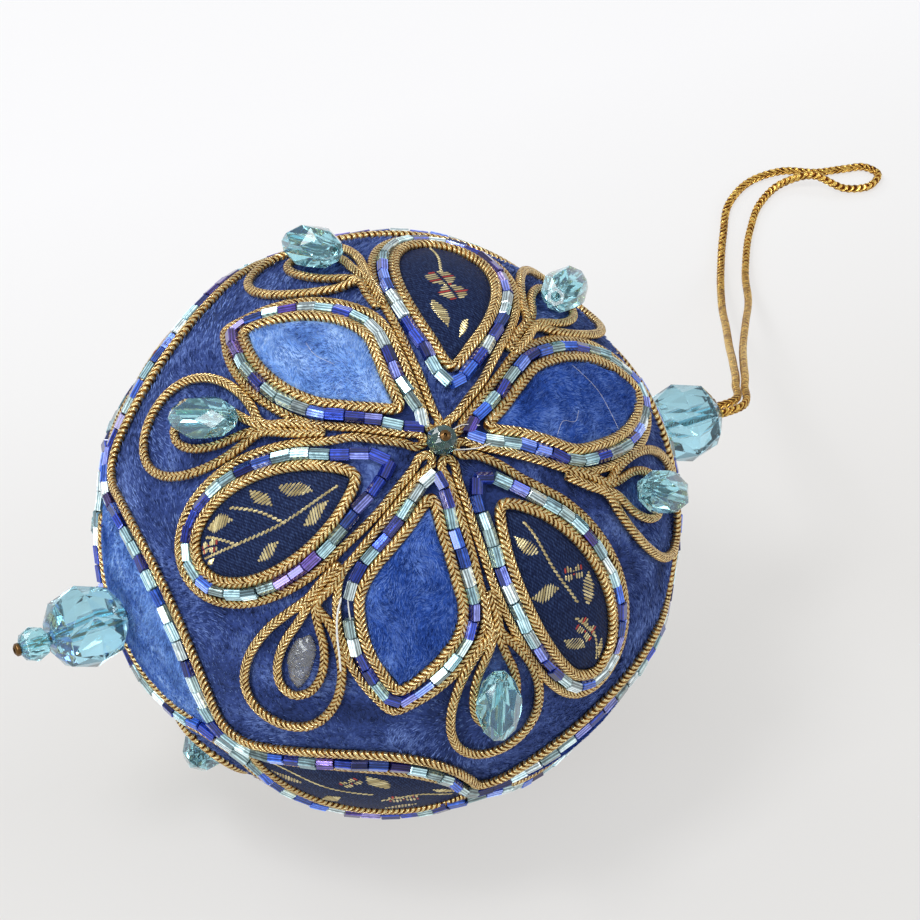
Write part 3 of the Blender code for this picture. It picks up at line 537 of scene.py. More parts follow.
hangCord = {
    "diameter": 1.15,
    "ringStep": 0.16,
    "pitch": 0.85,
    "relief": 0.19,
    "upward": (-0.34, -0.66, 0.67),
    "length": 0.236,
    "route": (
        (47.4, 0.75, 37.1), (50.0, 1.1, 36.7), (53.6, 6.6, 33.9), (58.6, 16.2, 27.8), (65.2, 29.2, 18.4),
        (70.6, 39.8, 11.4), (76.0, 50.8, 5.0), (81.2, 60.6, 1.4), (85.6, 68.0, 0.65), (89.6, 73.6, 0.65),
        (94.6, 76.4, 0.65), (99.2, 76.0, 0.9), (103.4, 73.8, 0.7), (107.2, 72.8, 0.65), (110.0, 71.8, 0.65),
        (110.9, 69.7, 0.65), (108.8, 68.0, 0.65), (105.4, 68.6, 0.9), (101.6, 72.0, 2.2), (97.6, 73.6, 0.9),
        (93.4, 71.6, 0.65), (89.4, 67.2, 0.65), (84.4, 59.4, 1.5), (79.0, 48.8, 6.0), (72.6, 38.0, 13.0),
        (65.5, 26.0, 20.4), (59.7, 15.4, 27.9), (54.5, 5.8, 34.0), (50.6, -0.2, 36.6), (47.4, -0.75, 37.1),
    ),
}


def carried(line, start):
    # one vector per point, square to the line, carried along it without twist
    tangent = normed(np.gradient(line, axis=0))
    vectors = [start - tangent[0] * np.dot(start, tangent[0])]
    for direction in tangent[1:]:
        fresh = vectors[-1] - direction * np.dot(vectors[-1], direction)
        vectors.append(fresh / np.linalg.norm(fresh))
    return np.array(vectors)


def makeHangingCord():
    line = smoothLine(hangCord["route"], hangCord["ringStep"], False)
    outward = carried(line, np.array(hangCord["upward"]))
    part = cordPart(line, outward, hangCord["diameter"] / 2.0, False, pitch=hangCord["pitch"], sides=12,
                    flatness=1.0, depth=hangCord["relief"])
    piece = makeFromPart("hangingCord", part, glitterCord)
    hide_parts("hanging_cord")
    print("hanging cord is", round(lineLength(line) * mm, 4), "m long")


makeHangingCord()
print("hanging cord made")


# flower patterns: tables in mm on each side's flat pattern

petalColumns = ("u0", "v0", "u1", "v1", "left", "right", "inner", "outer", "cloth")
petalTables = {
    "front": (
        (4.0, 0.4, 32.5, 2.0, 5.3, 5.4, 0.85, 0.75, "blue"),
        (3.6, 11.0, 13.8, 32.0, 5.6, 6.6, 0.95, 0.50, "brocade"),
        (-5.6, 8.0, -17.4, 27.0, 4.9, 5.6, 0.85, 0.85, "sky"),
        (-15.0, 0.8, -36.4, -0.4, 5.6, 5.6, 0.75, 0.50, "brocade"),
        (-7.0, -6.5, -16.5, -26.3, 5.9, 6.3, 0.85, 0.85, "blue"),
        (2.6, -10.0, 13.2, -34.0, 5.6, 4.6, 0.70, 0.50, "brocade"),
    ),
    "back": (
        (8.2, 0.3, 32.6, -0.6, 5.4, 5.6, 0.85, 0.80, "blue"),
        (7.0, 10.6, 17.6, 29.2, 5.8, 5.8, 0.90, 0.50, "brocade"),
        (-3.6, 7.6, -15.4, 27.4, 5.4, 5.2, 0.85, 0.85, "sky"),
        (-11.6, 0.4, -34.0, 1.2, 5.8, 5.6, 0.85, 0.50, "brocade"),
        (-3.4, -7.4, -15.6, -27.8, 5.4, 5.6, 0.85, 0.85, "blue"),
        (6.8, -10.8, 17.8, -29.6, 5.6, 5.8, 0.90, 0.50, "brocade"),
    ),
}
loopColumns = ("u0", "v0", "u1", "v1", "left", "right", "join", "ring", "bead")
loopTables = {
    "front": (
        (17.2, 12.9, 39.5, 24.0, 6.9, 7.6, 17.0, True, True),
        (-0.5, 27.0, -7.0, 45.0, 9.0, 6.4, 21.0, True, True),
        (-22.0, 12.0, -38.0, 24.0, 7.4, 8.0, 14.0, True, True),
        (-24.2, -11.9, -34.2, -28.5, 6.3, 8.0, 19.0, True, False),
        (-2.9, -23.7, -5.0, -43.0, 7.2, 6.6, 19.0, True, True),
        (18.0, -10.5, 41.0, -16.5, 7.1, 8.2, 17.0, True, True),
    ),
    "back": (
        (20.5, 11.6, 36.8, 21.4, 6.4, 7.2, 16.5, False, True),
        (0.2, 25.8, 0.2, 44.6, 7.0, 6.6, 16.5, False, False),
        (-19.2, 11.5, -36.6, 22.0, 6.4, 6.9, 17.0, False, True),
        (-19.4, -11.2, -36.4, -21.6, 6.8, 7.2, 17.0, False, True),
        (0.6, -23.4, 0.4, -42.6, 7.2, 7.2, 16.5, False, True),
        (20.4, -11.4, 37.0, -21.8, 7.2, 6.6, 18.0, False, True),
    ),
}
flowerCentres = {"front": (-2.8, 0.7), "back": (0.2, 0.0)}
flowerRows = {
    "innerCord": 0.85, "beads": 2.35, "outerCord": 3.85, "mitreLimit": 1.35, "innerMitre": 2.2,
    "stemStrand": 0.60, "stemBeads": 1.95, "stemInnerCord": 3.4, "stemCloth": 4.25,
    "stemStart": 1.8, "stemBend": 2.0, "stemFlare": ((4.3, 0.62), (2.7, 0.80)),
    "clothSamples": 8, "fineSamples": 40, "strandStep": 3.2, "step": 0.2,
    # how often, and from how far behind the middle, points are held off a stem
    "passes": 4, "pastMiddle": 2.0,
    "bluntTip": 0.6,
    "beadReach": {"front": (0.3, 0.0, 1.6, 2.5, 0.3, 2.3), "back": (0.0, 0.0, 0.0, 0.0, 0.0, 0.0)},
}


def rowsOf(columns, table):
    return [dict(zip(columns, row)) for row in table]


def swelling(s, inner, outer):
    # a leaf's width at share s of its length, 1 at its widest
    peak = inner / (inner + outer)
    return (s / peak) ** inner * (max(1.0 - s, 0.0) / (1.0 - peak)) ** outer


def rowEnds(row):
    return Vector((row["u0"], row["v0"])), Vector((row["u1"], row["v1"]))


def leafSides(row, inner, outer, samples=60):
    start, end = rowEnds(row)
    along = end - start
    aside = Vector((-along.y, along.x)).normalized()
    rightSide, leftSide = [], []
    for i in range(samples + 1):
        s = (1.0 - math.cos(math.pi * i / samples)) / 2.0
        width = swelling(s, inner, outer)
        rightSide.append(start + along * s - aside * row["right"] * width)
        leftSide.append(start + along * s + aside * row["left"] * width)
    return rightSide, leftSide


def leafOutline(row, inner, outer, half):
    # closed, counter-clockwise, with a point on each tip
    sides = []
    for side in leafSides(row, inner, outer):
        line = np.array([tuple(p) for p in side])
        sides.append(evenly(line, lineLength(line) / half, False))
    right, left = sides
    return [Vector(p) for p in np.vstack([right, left[::-1][1:-1]])]


def movedOut(outline, distance, bluntTip=False):
    # the outline at a distance outside itself, with its corners held in
    moved = []
    for i, point in enumerate(outline):
        limit = 1.0 if bluntTip and i == len(outline) // 2 else flowerRows["mitreLimit"]
        if i == 0:
            limit = flowerRows["innerMitre"]
        before = (point - outline[i - 1]).normalized()
        after = (outline[(i + 1) % len(outline)] - point).normalized()
        outward = Vector((before.y + after.y, -before.x - after.x)).normalized()
        cosine = outward.dot(Vector((before.y, -before.x)))
        moved.append(point + outward * distance * min(1.0 / max(cosine, 0.2), limit))
    return moved


def clearOfStems(outline, middle, stems, clearance):
    # pushes points aside that come too near to the stems on both sides of a petal
    moved = []
    for point in outline:
        spot = point.copy()
        for _ in range(flowerRows["passes"]):
            for direction, side in ((stems[0], 1.0), (stems[1], -1.0)):
                normal = Vector((-direction.y, direction.x)) * side
                if (spot - middle).dot(direction) < -flowerRows["pastMiddle"]:
                    continue
                short = clearance - (spot - middle).dot(normal)
                if short > 0.0:
                    spot = spot + normal * short
        moved.append(spot)
    return moved


def stemBend(middle, direction, normal, leaving):
    # the place where the cord turns off a stem, or none where it leaves too near to the middle
    along = (leaving - middle).dot(direction)
    aside = (leaving - middle).dot(normal) - flowerRows["stemStrand"]
    reach = along - flowerRows["stemBend"] * (1.0 + aside)
    if aside < 0.05 or reach < flowerRows["stemFlare"][0][0] + 1.0:
        return []
    return [middle + direction * reach + normal * flowerRows["stemStrand"]]


def spaced(points, step):
    line = np.array([tuple(p) for p in points])
    count = max(round(lineLength(line) / step), 2)
    return [Vector(p) for p in evenly(line, lineLength(line) / count, False)]


def rosetteLine(middle, petals, stems):
    # the outer gold cord, round all six petals and down to the middle between them
    half = flowerRows["fineSamples"]
    line = []
    for index, row in enumerate(petals):
        before, after = stems[index - 1], stems[index]
        leftOfBefore, rightOfAfter = Vector((-before.y, before.x)), Vector((after.y, -after.x))
        outline = movedOut(leafOutline(row, row["inner"], row["outer"], half), flowerRows["outerCord"])
        outline = clearOfStems(outline, middle, (before, after), flowerRows["stemStrand"])
        first, last = (min(range(len(outline)), key=lambda k: (outline[k] - middle).dot(normal)
                           - 0.01 * (outline[k] - middle).dot(direction))
                       for direction, normal in ((before, leftOfBefore), (after, rightOfAfter)))
        if last < half:
            last += len(outline)
        toTip = outline[first:half + 1]
        fromTip = [outline[k % len(outline)] for k in range(half, last + 1)]
        flareIn = [middle + before * reach + leftOfBefore * side for reach, side in flowerRows["stemFlare"]]
        flareOut = [middle + after * reach + rightOfAfter * side for reach, side in flowerRows["stemFlare"]]
        runOut = [flareIn[0]] + stemBend(middle, before, leftOfBefore, toTip[0]) + toTip
        runBack = fromTip + stemBend(middle, after, rightOfAfter, fromTip[-1]) + [flareOut[0]]
        line.append(middle + before * flowerRows["stemStart"])
        line.append(flareIn[1])
        line.extend(spaced(runOut, flowerRows["strandStep"]))
        line.extend(spaced(runBack, flowerRows["strandStep"])[1:])
        line.append(flareOut[1])
    return line


# cloth panels, each one a crowned sheet with the edge tucked under its cord

petalCloth = {"crown": {"blue": 0.75, "sky": 0.75, "brocade": 0.5}, "edge": 0.30, "thickness": 0.24,
              "stations": 64, "lanes": 26, "ends": (0.012, 0.988), "step": 0.25, "unevenness": 0.05,
              "underCord": 0.35, "backCrown": 0.8}
girdleCloth = {"crown": 0.35, "edge": 0.28, "thickness": 0.24, "stations": 90, "lanes": 30,
               "ends": (0.004, 0.996), "inset": 2.75, "least": 0.02}
clothFinish = {"blue": blueFelt, "sky": skyFelt, "brocade": navyBrocade}


def outlineArea(flat):
    x, y = flat[:, 0], flat[:, 1]
    return abs(float(np.sum(x * np.roll(y, -1) - y * np.roll(x, -1)))) / 2.0


def clothSheet(name, top, normals, flat, thickness, material, shade):
    # closed thin cloth from a grid of points (stations, lanes, 3)
    stations, lanes = top.shape[:2]
    upper = top.reshape(-1, 3)
    lower = upper - normals.reshape(-1, 3) * thickness
    index = np.arange(stations * lanes).reshape(stations, lanes)
    quads = np.stack([index[:-1, :-1], index[1:, :-1], index[1:, 1:], index[:-1, 1:]], axis=-1).reshape(-1, 4)
    facing = np.cross(upper[quads[:, 1]] - upper[quads[:, 0]], upper[quads[:, 3]] - upper[quads[:, 0]])
    if float((facing * normals.reshape(-1, 3)[quads[:, 0]]).sum()) < 0.0:
        quads = quads[:, ::-1]
    under = quads[:, ::-1] + stations * lanes
    rim = np.concatenate([index[:, 0], index[-1, 1:], index[::-1, -1][1:], index[0, ::-1][1:-1]])
    after = np.roll(rim, -1)
    rimQuads = np.stack([rim, after, after + stations * lanes, rim + stations * lanes], axis=-1)
    middle = upper.mean(axis=0)
    wallFacing = np.cross(upper[after] - upper[rim], lower[rim] - upper[rim])
    if float((wallFacing * (upper[rim] - middle)).sum()) > 0.0:
        rimQuads = rimQuads[:, ::-1]
    faces = np.vstack([quads, under, rimQuads])
    uv = np.vstack([flat.reshape(-1, 2)] * 2)[faces.ravel()]
    values = {"shade": np.concatenate([shade.ravel()] * 2)}
    return makePiece(name, np.vstack([upper, lower]), faces, material, uv, values)


# a panel as it was cut: what is turned under its cord, and its share of the rectangle round it
cutCloth = {"turnedUnder": 1.0, "leastWidth": 10.2, "crowned": 1.18, "mostOfBox": 0.98, "leastOfBox": 0.32}


def declareCloth(edge):
    spread = edge - edge.mean(axis=0)
    along = np.linalg.svd(spread, full_matrices=False)[2]
    local = spread @ along.T
    margin = 2.0 * cutCloth["turnedUnder"]
    length, width = np.ptp(local[:, 0]) + margin, max(np.ptp(local[:, 1]) + margin, cutCloth["leastWidth"])
    area = min(outlineArea(edge) * cutCloth["crowned"], width * length * cutCloth["mostOfBox"])
    area = max(area, cutCloth["leastOfBox"] * width * length)


pile = {
    # painted shade toward each fibre's root and painted light toward its tip
    "rootShadeTipLight": (0.55, 0.55, 1.05, 1.4),  # how light a fibre is along its length
    "widths": (0.7, 1.2), "lifts": (0.5, 1.3), "astray": 0.28, "twist": 0.35, "bend": 0.75, "middleWidth": 0.4,
    "quickShare": 0.25,
    # strokes are waves as share and length in mm, and grain is how much the shade varies by chance
    "velvet": {"count": 70000, "length": (0.55, 1.0), "width": 0.115, "lift": 0.36, "sunk": 0.06,
               "drawn": 2.2, "underside": -0.94, "shade": 0.37, "strokes": ((0.26, 1.6), (0.32, 8.0)),
               "grain": 0.30},
    "felt": {"perMm2": 24.0, "length": (0.45, 0.85), "width": 0.10, "lift": 0.32, "sunk": 0.05,
             "shade": 0.5, "strokes": ((0.30, 5.0), (0.22, 1.3)), "grain": 0.30,
             "swirl": ((1.1, 9.0), (0.6, 3.0))},
}


def growPile(name, roots, normals, directions, settings, material, shade, seed):
    # short fibres: a bent sliver of two triangles each
    chance = np.random.default_rng(seed)
    count = len(roots)
    directions = normed(directions - normals * (directions * normals).sum(axis=1, keepdims=True))
    side = np.cross(normals, directions)
    length = chance.uniform(*settings["length"], count)[:, None]
    width = settings["width"] * chance.uniform(*pile["widths"], count)[:, None]
    lift = settings["lift"] * chance.uniform(*pile["lifts"], count)[:, None]
    heading = normed(directions + side * chance.normal(0.0, pile["astray"], count)[:, None])
    cross = np.cross(normals, heading)
    twist = normed(cross + normals * chance.normal(0.0, pile["twist"], count)[:, None])
    middle = roots + heading * length * 0.5 + normals * lift * pile["bend"]
    tip = roots + heading * length + normals * lift
    points = np.stack([roots - twist * width / 2.0, roots + twist * width / 2.0,
                       middle + twist * width * pile["middleWidth"], tip], axis=1).reshape(-1, 3)
    base = np.arange(count)[:, None] * 4
    faces = np.concatenate([base + np.array((0, 1, 2)), base + np.array((0, 2, 3))])
    # painted shade at each fibre's root and painted light at its tip
    shades = np.clip(shade[:, None] * np.array(pile["rootShadeTipLight"]), 0.0, 1.0).ravel()
    return makePiece(name, points, faces, material, None, {"shade": shades})


def addedWaves(places, shares, seed):
    return sum(share * waves(places, length, seed + k) for k, (share, length) in enumerate(shares))


def insideOutline(spots, outline):
    # true for the spots inside, by how many times the outline is crossed on the way out
    x, y = spots[:, 0], spots[:, 1]
    result = np.zeros(len(spots), bool)
    for (ax, ay), (bx, by) in zip(outline, np.roll(outline, -1, 0)):
        crosses = (ay > y) != (by > y)
        result ^= crosses & (x < (bx - ax) * (y - ay) / (by - ay + 1e-12) + ax)
    return result


# brocade threads: stems of slanted stitches, leaves of side by side floats, small buds

brocadeWork = {
    "floatWidth": 0.29, "floatHeight": 0.09, "floatLift": 0.03, "stemStep": 0.66, "stemFloat": 0.80,
    "leafStep": 0.42, "leafFill": 1.25, "leafSlant": 68.0, "stemSlant": 0.45, "budLobe": 0.23,
    "ends": (0.04, 0.97), "sides": 0.97,
    # stems by share along and across, leaves with turn, length and width, buds with turn and half count
    "designs": (
        {"stems": (((0.60, 0.1), (0.78, 0.05), (0.93, 0.2)),),
         "leaves": ((0.30, 0.30, 20, 5.4, 2.2), (0.22, -0.45, -10, 3.6, 1.7)),
         "buds": ((0.50, 0.02, 24, 7),)},
        {"stems": (((0.10, 0.1), (0.42, 0.22), (0.68, 0.12), (0.92, 0.0)),
                   ((0.42, 0.22), (0.50, -0.25), (0.62, -0.70)), ((0.68, 0.12), (0.76, -0.28), (0.82, -0.60))),
         "leaves": ((0.26, 0.50, 10, 4.4, 2.1), (0.30, -0.42, -35, 4.6, 2.3), (0.55, 0.62, 15, 3.4, 1.5),
                    (0.47, -0.55, -60, 3.4, 1.7), (0.72, -0.62, -25, 4.4, 2.0), (0.88, 0.30, 30, 2.4, 1.2)),
         "buds": ((0.84, -0.30, -30, 4),)},
        {"stems": (((0.12, 0.3), (0.35, 0.02), (0.55, 0.10)), ((0.62, -0.1), (0.76, 0.25), (0.90, 0.2))),
         "leaves": ((0.20, -0.32, 30, 4.6, 2.2), (0.42, -0.52, 70, 3.8, 1.9), (0.55, 0.55, -35, 4.2, 2.0),
                    (0.72, -0.45, 35, 3.8, 1.8), (0.86, 0.45, -10, 3.0, 1.5)),
         "buds": ((0.44, 0.42, 60, 3), (0.70, 0.02, 20, 4))},
    ),
}


def threadFloat(start, end, normal):
    # one stitch: a long flat diamond bar with eight faces
    along = end - start
    side = np.cross(normal, along)
    side = side / max(np.linalg.norm(side), 1e-9) * brocadeWork["floatWidth"] / 2.0
    rise = normal * brocadeWork["floatHeight"]
    a, b = start + along * 0.18, start + along * 0.82
    points = np.array([start, a - side, a + rise, a + side, b - side, b + rise, b + side, end])
    faces = np.array([(0, 1, 2), (0, 2, 3), (1, 4, 5), (1, 5, 2), (2, 5, 6), (2, 6, 3), (4, 7, 5), (5, 7, 6)])
    return points, faces


def brocadeFloats(name, place, unit, design, seed):
    # place(s, t) gives a spot in mm, unit is (mm per s, mm per t)
    chance = np.random.default_rng(seed)
    gold, red = [], []

    def onCloth(s, t):
        spot = place(s, t)
        return spot + normed(spot - ballCentre) * brocadeWork["floatLift"]

    def stitch(store, x, y, angle, length, shade):
        s, t = x / unit[0], y / unit[1]
        ds, dt = math.cos(angle) * length / 2.0 / unit[0], math.sin(angle) * length / 2.0 / unit[1]
        if brocadeWork["ends"][0] < s < brocadeWork["ends"][1] and abs(t) + abs(dt) < brocadeWork["sides"]:
            normal = normed(place(s, t) - ballCentre)
            points, faces = threadFloat(onCloth(s - ds, t - dt), onCloth(s + ds, t + dt), normal)
            store.append((points, faces, None, {"shade": np.full(len(faces), shade)}))

    for stem in design["stems"]:
        line = smoothLine([(s * unit[0], t * unit[1]) for s, t in stem], brocadeWork["stemStep"], False)
        for (x, y), (hx, hy) in zip(line, np.gradient(line, axis=0)):
            angle = math.atan2(hy, hx) + brocadeWork["stemSlant"]
            stitch(gold, x, y, angle, brocadeWork["stemFloat"], chance.uniform(0.3, 0.9))
    for s, t, turn, length, width in design["leaves"]:
        angle = math.radians(turn)
        for k in np.arange(-length / 2.0, length / 2.0, brocadeWork["leafStep"]):
            share = 1.0 - (2.0 * k / length) ** 2
            x, y = s * unit[0] + math.cos(angle) * k, t * unit[1] + math.sin(angle) * k
            long = max(brocadeWork["leafFill"] * width * share * chance.uniform(0.85, 1.1), 0.4)
            stitch(gold, x, y, angle + math.radians(brocadeWork["leafSlant"]), long, chance.uniform(0.2, 1.0))
    for s, t, turn, half in design["buds"]:
        angle = math.radians(turn)
        for k in range(-half, half + 1):
            for lobe in (1.0, -1.0):
                swell = 0.35 + math.sin(math.pi * abs(k) / (half + 1.0))
                length = brocadeWork["budLobe"] * half * swell * chance.uniform(0.85, 1.1)
                along, aside = k * brocadeWork["leafStep"], lobe * (length / 2.0 + 0.10)
                x = s * unit[0] + math.cos(angle) * along - math.sin(angle) * aside
                y = t * unit[1] + math.sin(angle) * along + math.cos(angle) * aside
                store = red if (abs(k) + (lobe > 0.0)) % 4 == 0 else gold
                stitch(store, x, y, angle + math.radians(90.0), length, chance.uniform(0.3, 1.0))
    pieces = []
    for store, material, label in ((gold, goldThread, "goldFloats"), (red, redThread, "redFloats")):
        if store:
            points, faces, _, values = joinParts(store)
            pieces.append(makePiece(f"{label}_{name}", points, faces, material, None, values, smooth=False))
    return pieces


def sideAt(line, s):
    places = np.linspace(0.0, 1.0, len(line))
    return np.column_stack([np.interp(s, places, line[:, k]) for k in range(line.shape[1])])


def acrossSides(right, left, lane):
    # lane -1 is on the right side, 1 on the left
    return (right * (1.0 - lane)[..., None] + left * (1.0 + lane)[..., None]) / 2.0


def makeCloth(name, top, flat, thickness, cloth, seed):
    normals = normed(top - ballCentre)
    shade = 0.5 + 0.35 * waves(flat.reshape(-1, 2), 6.0, seed + 5).reshape(flat.shape[:2])
    piece = clothSheet(name, top, normals, flat, thickness, clothFinish[cloth], shade)
    return piece, normals


def petalPanel(side, number, row, outline, seed):
    half = len(outline) // 2
    right = smoothLine(outline[:half + 1], petalCloth["step"], False)
    left = smoothLine([outline[0]] + outline[:half - 1:-1], petalCloth["step"], False)
    s = (1.0 - np.cos(np.pi * np.linspace(*petalCloth["ends"], petalCloth["stations"]))) / 2.0
    lanes = np.linspace(-1.0, 1.0, petalCloth["lanes"])
    cloth = row["cloth"]
    crown = petalCloth["crown"][cloth] * (1.0 if side == "front" else petalCloth["backCrown"])

    def heightAt(share, lane):
        domed = np.sin(np.pi * np.clip(share, 0.0, 1.0)) ** 0.4
        return petalCloth["edge"] + crown * (1.0 - lane ** 4) ** 0.8 * domed

    def place(share, lane):
        share, lane = np.array([share]), np.array([lane])
        flat = acrossSides(sideAt(right, share), sideAt(left, share), lane)
        return layOnBall(side, flat, heightAt(share, lane))[0]

    edge = [sideAt(right, s), sideAt(left, s)]
    flat = acrossSides(edge[0][:, None], edge[1][:, None], lanes[None, :])
    heights = heightAt(s[:, None], lanes[None, :])
    uneven = petalCloth["unevenness"] * waves(flat.reshape(-1, 2), 4.0, seed)
    top = layOnBall(side, flat, heights + uneven.reshape(heights.shape))
    name = f"{cloth}Petal_{side}_{number}"
    piece, normals = makeCloth(name, top, flat, petalCloth["thickness"], cloth, seed)
    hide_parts(f"petal_panel_{side}_{number}")
    if cloth == "brocade":
        unit = (lineLength(right), (row["left"] + row["right"]) / 2.0)
        extras = brocadeFloats(name, place, unit, brocadeWork["designs"][number // 2 - 1], seed)
    else:
        extras = [feltPile(name, top, normals, flat, cloth, seed)]
    declareCloth(np.vstack([edge[0], edge[1][::-1]]))


def feltPile(name, top, normals, flat, cloth, seed):
    # fibres all over a panel, brushed one way with some swirl
    chance = np.random.default_rng(seed + 11)
    area = outlineArea(np.vstack([flat[:, 0], flat[::-1, -1]]))
    count = int(area * pile["felt"]["perMm2"] * (1.0))
    widths = np.linalg.norm(flat[:, -1] - flat[:, 0], axis=1)
    steps = np.linalg.norm(np.diff(flat.mean(axis=1), axis=0), axis=1)
    spans = np.concatenate([[0.0], np.cumsum(steps * widths[1:])])
    station = np.interp(chance.uniform(0.0, spans[-1], count), spans, np.arange(len(spans)))
    lane = chance.uniform(0.0, top.shape[1] - 1.001, count)
    i, j = np.minimum(station.astype(int), top.shape[0] - 2), lane.astype(int)
    fs, ft = (station - i)[:, None], (lane - j)[:, None]

    def mixed(grid):
        return ((grid[i, j] * (1 - fs) + grid[i + 1, j] * fs) * (1 - ft)
                + (grid[i, j + 1] * (1 - fs) + grid[i + 1, j + 1] * fs) * ft)

    roots, outward, places = mixed(top), normed(mixed(normals)), mixed(flat)
    along = normed(mixed(np.gradient(top, axis=0)))
    turn = addedWaves(places, pile["felt"]["swirl"], seed + 2)[:, None]
    heading = along * np.cos(turn) + np.cross(outward, along) * np.sin(turn)
    strokes = addedWaves(places, pile["felt"]["strokes"], seed + 5)
    grain = chance.normal(0.0, pile["felt"]["grain"], count)
    shade = np.clip(pile["felt"]["shade"] + strokes + grain, 0.0, 1.0)
    roots = roots - outward * pile["felt"]["sunk"]
    piece = growPile(f"pile_{name}", roots, outward, heading, pile["felt"], clothFinish[cloth], shade, seed)
    return piece


# bead rows

tubeBead = {"length": 2.32, "radius": 0.80, "hole": 0.30, "chamfer": 0.09, "gap": 0.05,
            "askew": (0.05, 0.05, 0.03), "slack": 0.05, "lengths": (0.88, 1.10), "widths": (0.92, 1.04),
            "depths": (0.75, 1.1), "glint": (1.6, 0.35),  # depth of tint, and from which gain a facet whitens
            "runs": (0.36, 0.32, 0.2, 0.12),  # how often 1, 2, 3 or 4 beads of a colour follow each other
            # painted light and shade per facet: the gain of each facet and how often each comes
            "paintedFacetShading": (0.45, 0.80, 1.1, 1.45, 2.2), "facetShares": (0.22, 0.24, 0.24, 0.16, 0.14)}
beadTints = {
    "pale": ((0.40, 0.66, 0.76), (0.60, 0.74, 0.78), (0.36, 0.52, 0.54)),
    "cobalt": ((0.018, 0.048, 0.38), (0.032, 0.105, 0.55), (0.012, 0.026, 0.25)),
    "violet": ((0.050, 0.030, 0.24), (0.110, 0.070, 0.33)),
}
tintShares = (("pale", 0.48), ("cobalt", 0.47), ("violet", 0.05))


def modelTubeBead():
    # a hexagonal cut tube with chamfered ends and a drilled hole
    deselectAll()
    radius, length, chamfer = tubeBead["radius"], tubeBead["length"], tubeBead["chamfer"]
    bpy.ops.mesh.primitive_cylinder_add(vertices=6, radius=radius * mm, depth=length * mm)
    thing = bpy.context.object
    bpy.ops.object.mode_set(mode="EDIT")
    selectFaces(thing, lambda spot, normal: abs(normal.z) > 0.9)
    bpy.ops.mesh.inset(thickness=chamfer * mm, use_individual=True)
    bpy.ops.object.mode_set(mode="OBJECT")
    for vertex in thing.data.vertices:  # the outer edge steps back, which leaves a chamfer
        if math.hypot(vertex.co.x, vertex.co.y) > (radius - 0.02) * mm:
            vertex.co.z -= math.copysign(chamfer * mm, vertex.co.z)
    bpy.ops.object.mode_set(mode="EDIT")
    selectFaces(thing, lambda spot, normal: abs(normal.z) > 0.9 and abs(spot.z) > length / 2.0 - 0.02)
    bpy.ops.mesh.inset(thickness=(radius - chamfer - tubeBead["hole"]) * mm * 0.8, use_individual=True)
    bpy.ops.mesh.bridge_edge_loops()
    bpy.ops.mesh.select_all(action="SELECT")
    bpy.ops.mesh.quads_convert_to_tris()
    bpy.ops.mesh.normals_make_consistent(inside=False)
    bpy.ops.object.mode_set(mode="OBJECT")
    mesh = thing.data
    points = np.array([tuple(v.co) for v in mesh.vertices]) / mm
    faces = np.array([tuple(p.vertices) for p in mesh.polygons])
    bpy.data.objects.remove(thing)
    return points, faces


beadPoints, beadFaces = modelTubeBead()
beadMiddles = beadPoints[beadFaces].mean(axis=1)
beadCorners = np.degrees(np.arctan2(beadPoints[:, 1], beadPoints[:, 0]))
# where the painted streaks fall round a tube
beadAcross = np.round((beadCorners - 30.0) / 60.0) % 2  # 0 and 1 by turns from corner to corner
beadAngles = np.degrees(np.arctan2(beadMiddles[:, 1], beadMiddles[:, 0]))
beadFacets = ((beadAngles + 30.0) // 60.0).astype(int) % 6
print("tube bead has", len(beadFaces), "faces")


def lineAt(line, run, place):
    return np.array([np.interp(place, run, line[:, k]) for k in range(3)])


def beadColours(chance, count):
    # short runs of one tint, and never the same kind twice over
    names, weights = zip(*tintShares)
    tints, kind = [], None
    while len(tints) < count:
        shares = np.array([w for w, n in zip(weights, names) if n != kind])
        kind = str(chance.choice([n for n in names if n != kind], p=shares / shares.sum()))
        for _ in range(int(chance.choice((1, 2, 3, 4), p=tubeBead["runs"]))):
            tints.append(beadTints[kind][int(chance.integers(len(beadTints[kind])))])
    return tints


def threadedBead(chance, start, end, up, tint):
    # one bead between two places on the thread, a little askew and turned by chance
    tangent = (end - start) / np.linalg.norm(end - start)
    tangent = tangent + chance.normal(0.0, 1.0, 3) * np.array(tubeBead["askew"])
    tangent /= np.linalg.norm(tangent)
    side = np.cross(tangent, up)
    side /= np.linalg.norm(side)
    up = np.cross(side, tangent)
    spin = chance.uniform(0.0, math.pi / 3.0)
    a, b = side * math.cos(spin) + up * math.sin(spin), up * math.cos(spin) - side * math.sin(spin)
    fat = chance.uniform(*tubeBead["widths"])
    long = (np.linalg.norm(end - start) - tubeBead["gap"]) / tubeBead["length"]
    local = beadPoints * np.array((fat, fat, long))
    middle = (start + end) / 2.0 + chance.normal(0.0, tubeBead["slack"], 3)
    points = middle + local[:, :1] * a + local[:, 1:2] * b + local[:, 2:] * tangent
    tint = np.array(tint) * chance.uniform(*tubeBead["depths"])
    # each facet gets painted shade or painted highlight, and the lightest whiten with a painted glint
    facetShading = chance.choice(tubeBead["paintedFacetShading"], 6, p=tubeBead["facetShares"])[beadFacets]
    glintFrom, glintWhite = tubeBead["glint"]
    facets = tint * facetShading[:, None] + np.maximum(facetShading - glintFrom, 0.0)[:, None] * glintWhite
    values = {"tint": np.column_stack([facets, np.ones(len(facets))]), "across": beadAcross}
    return points, beadFaces, None, values


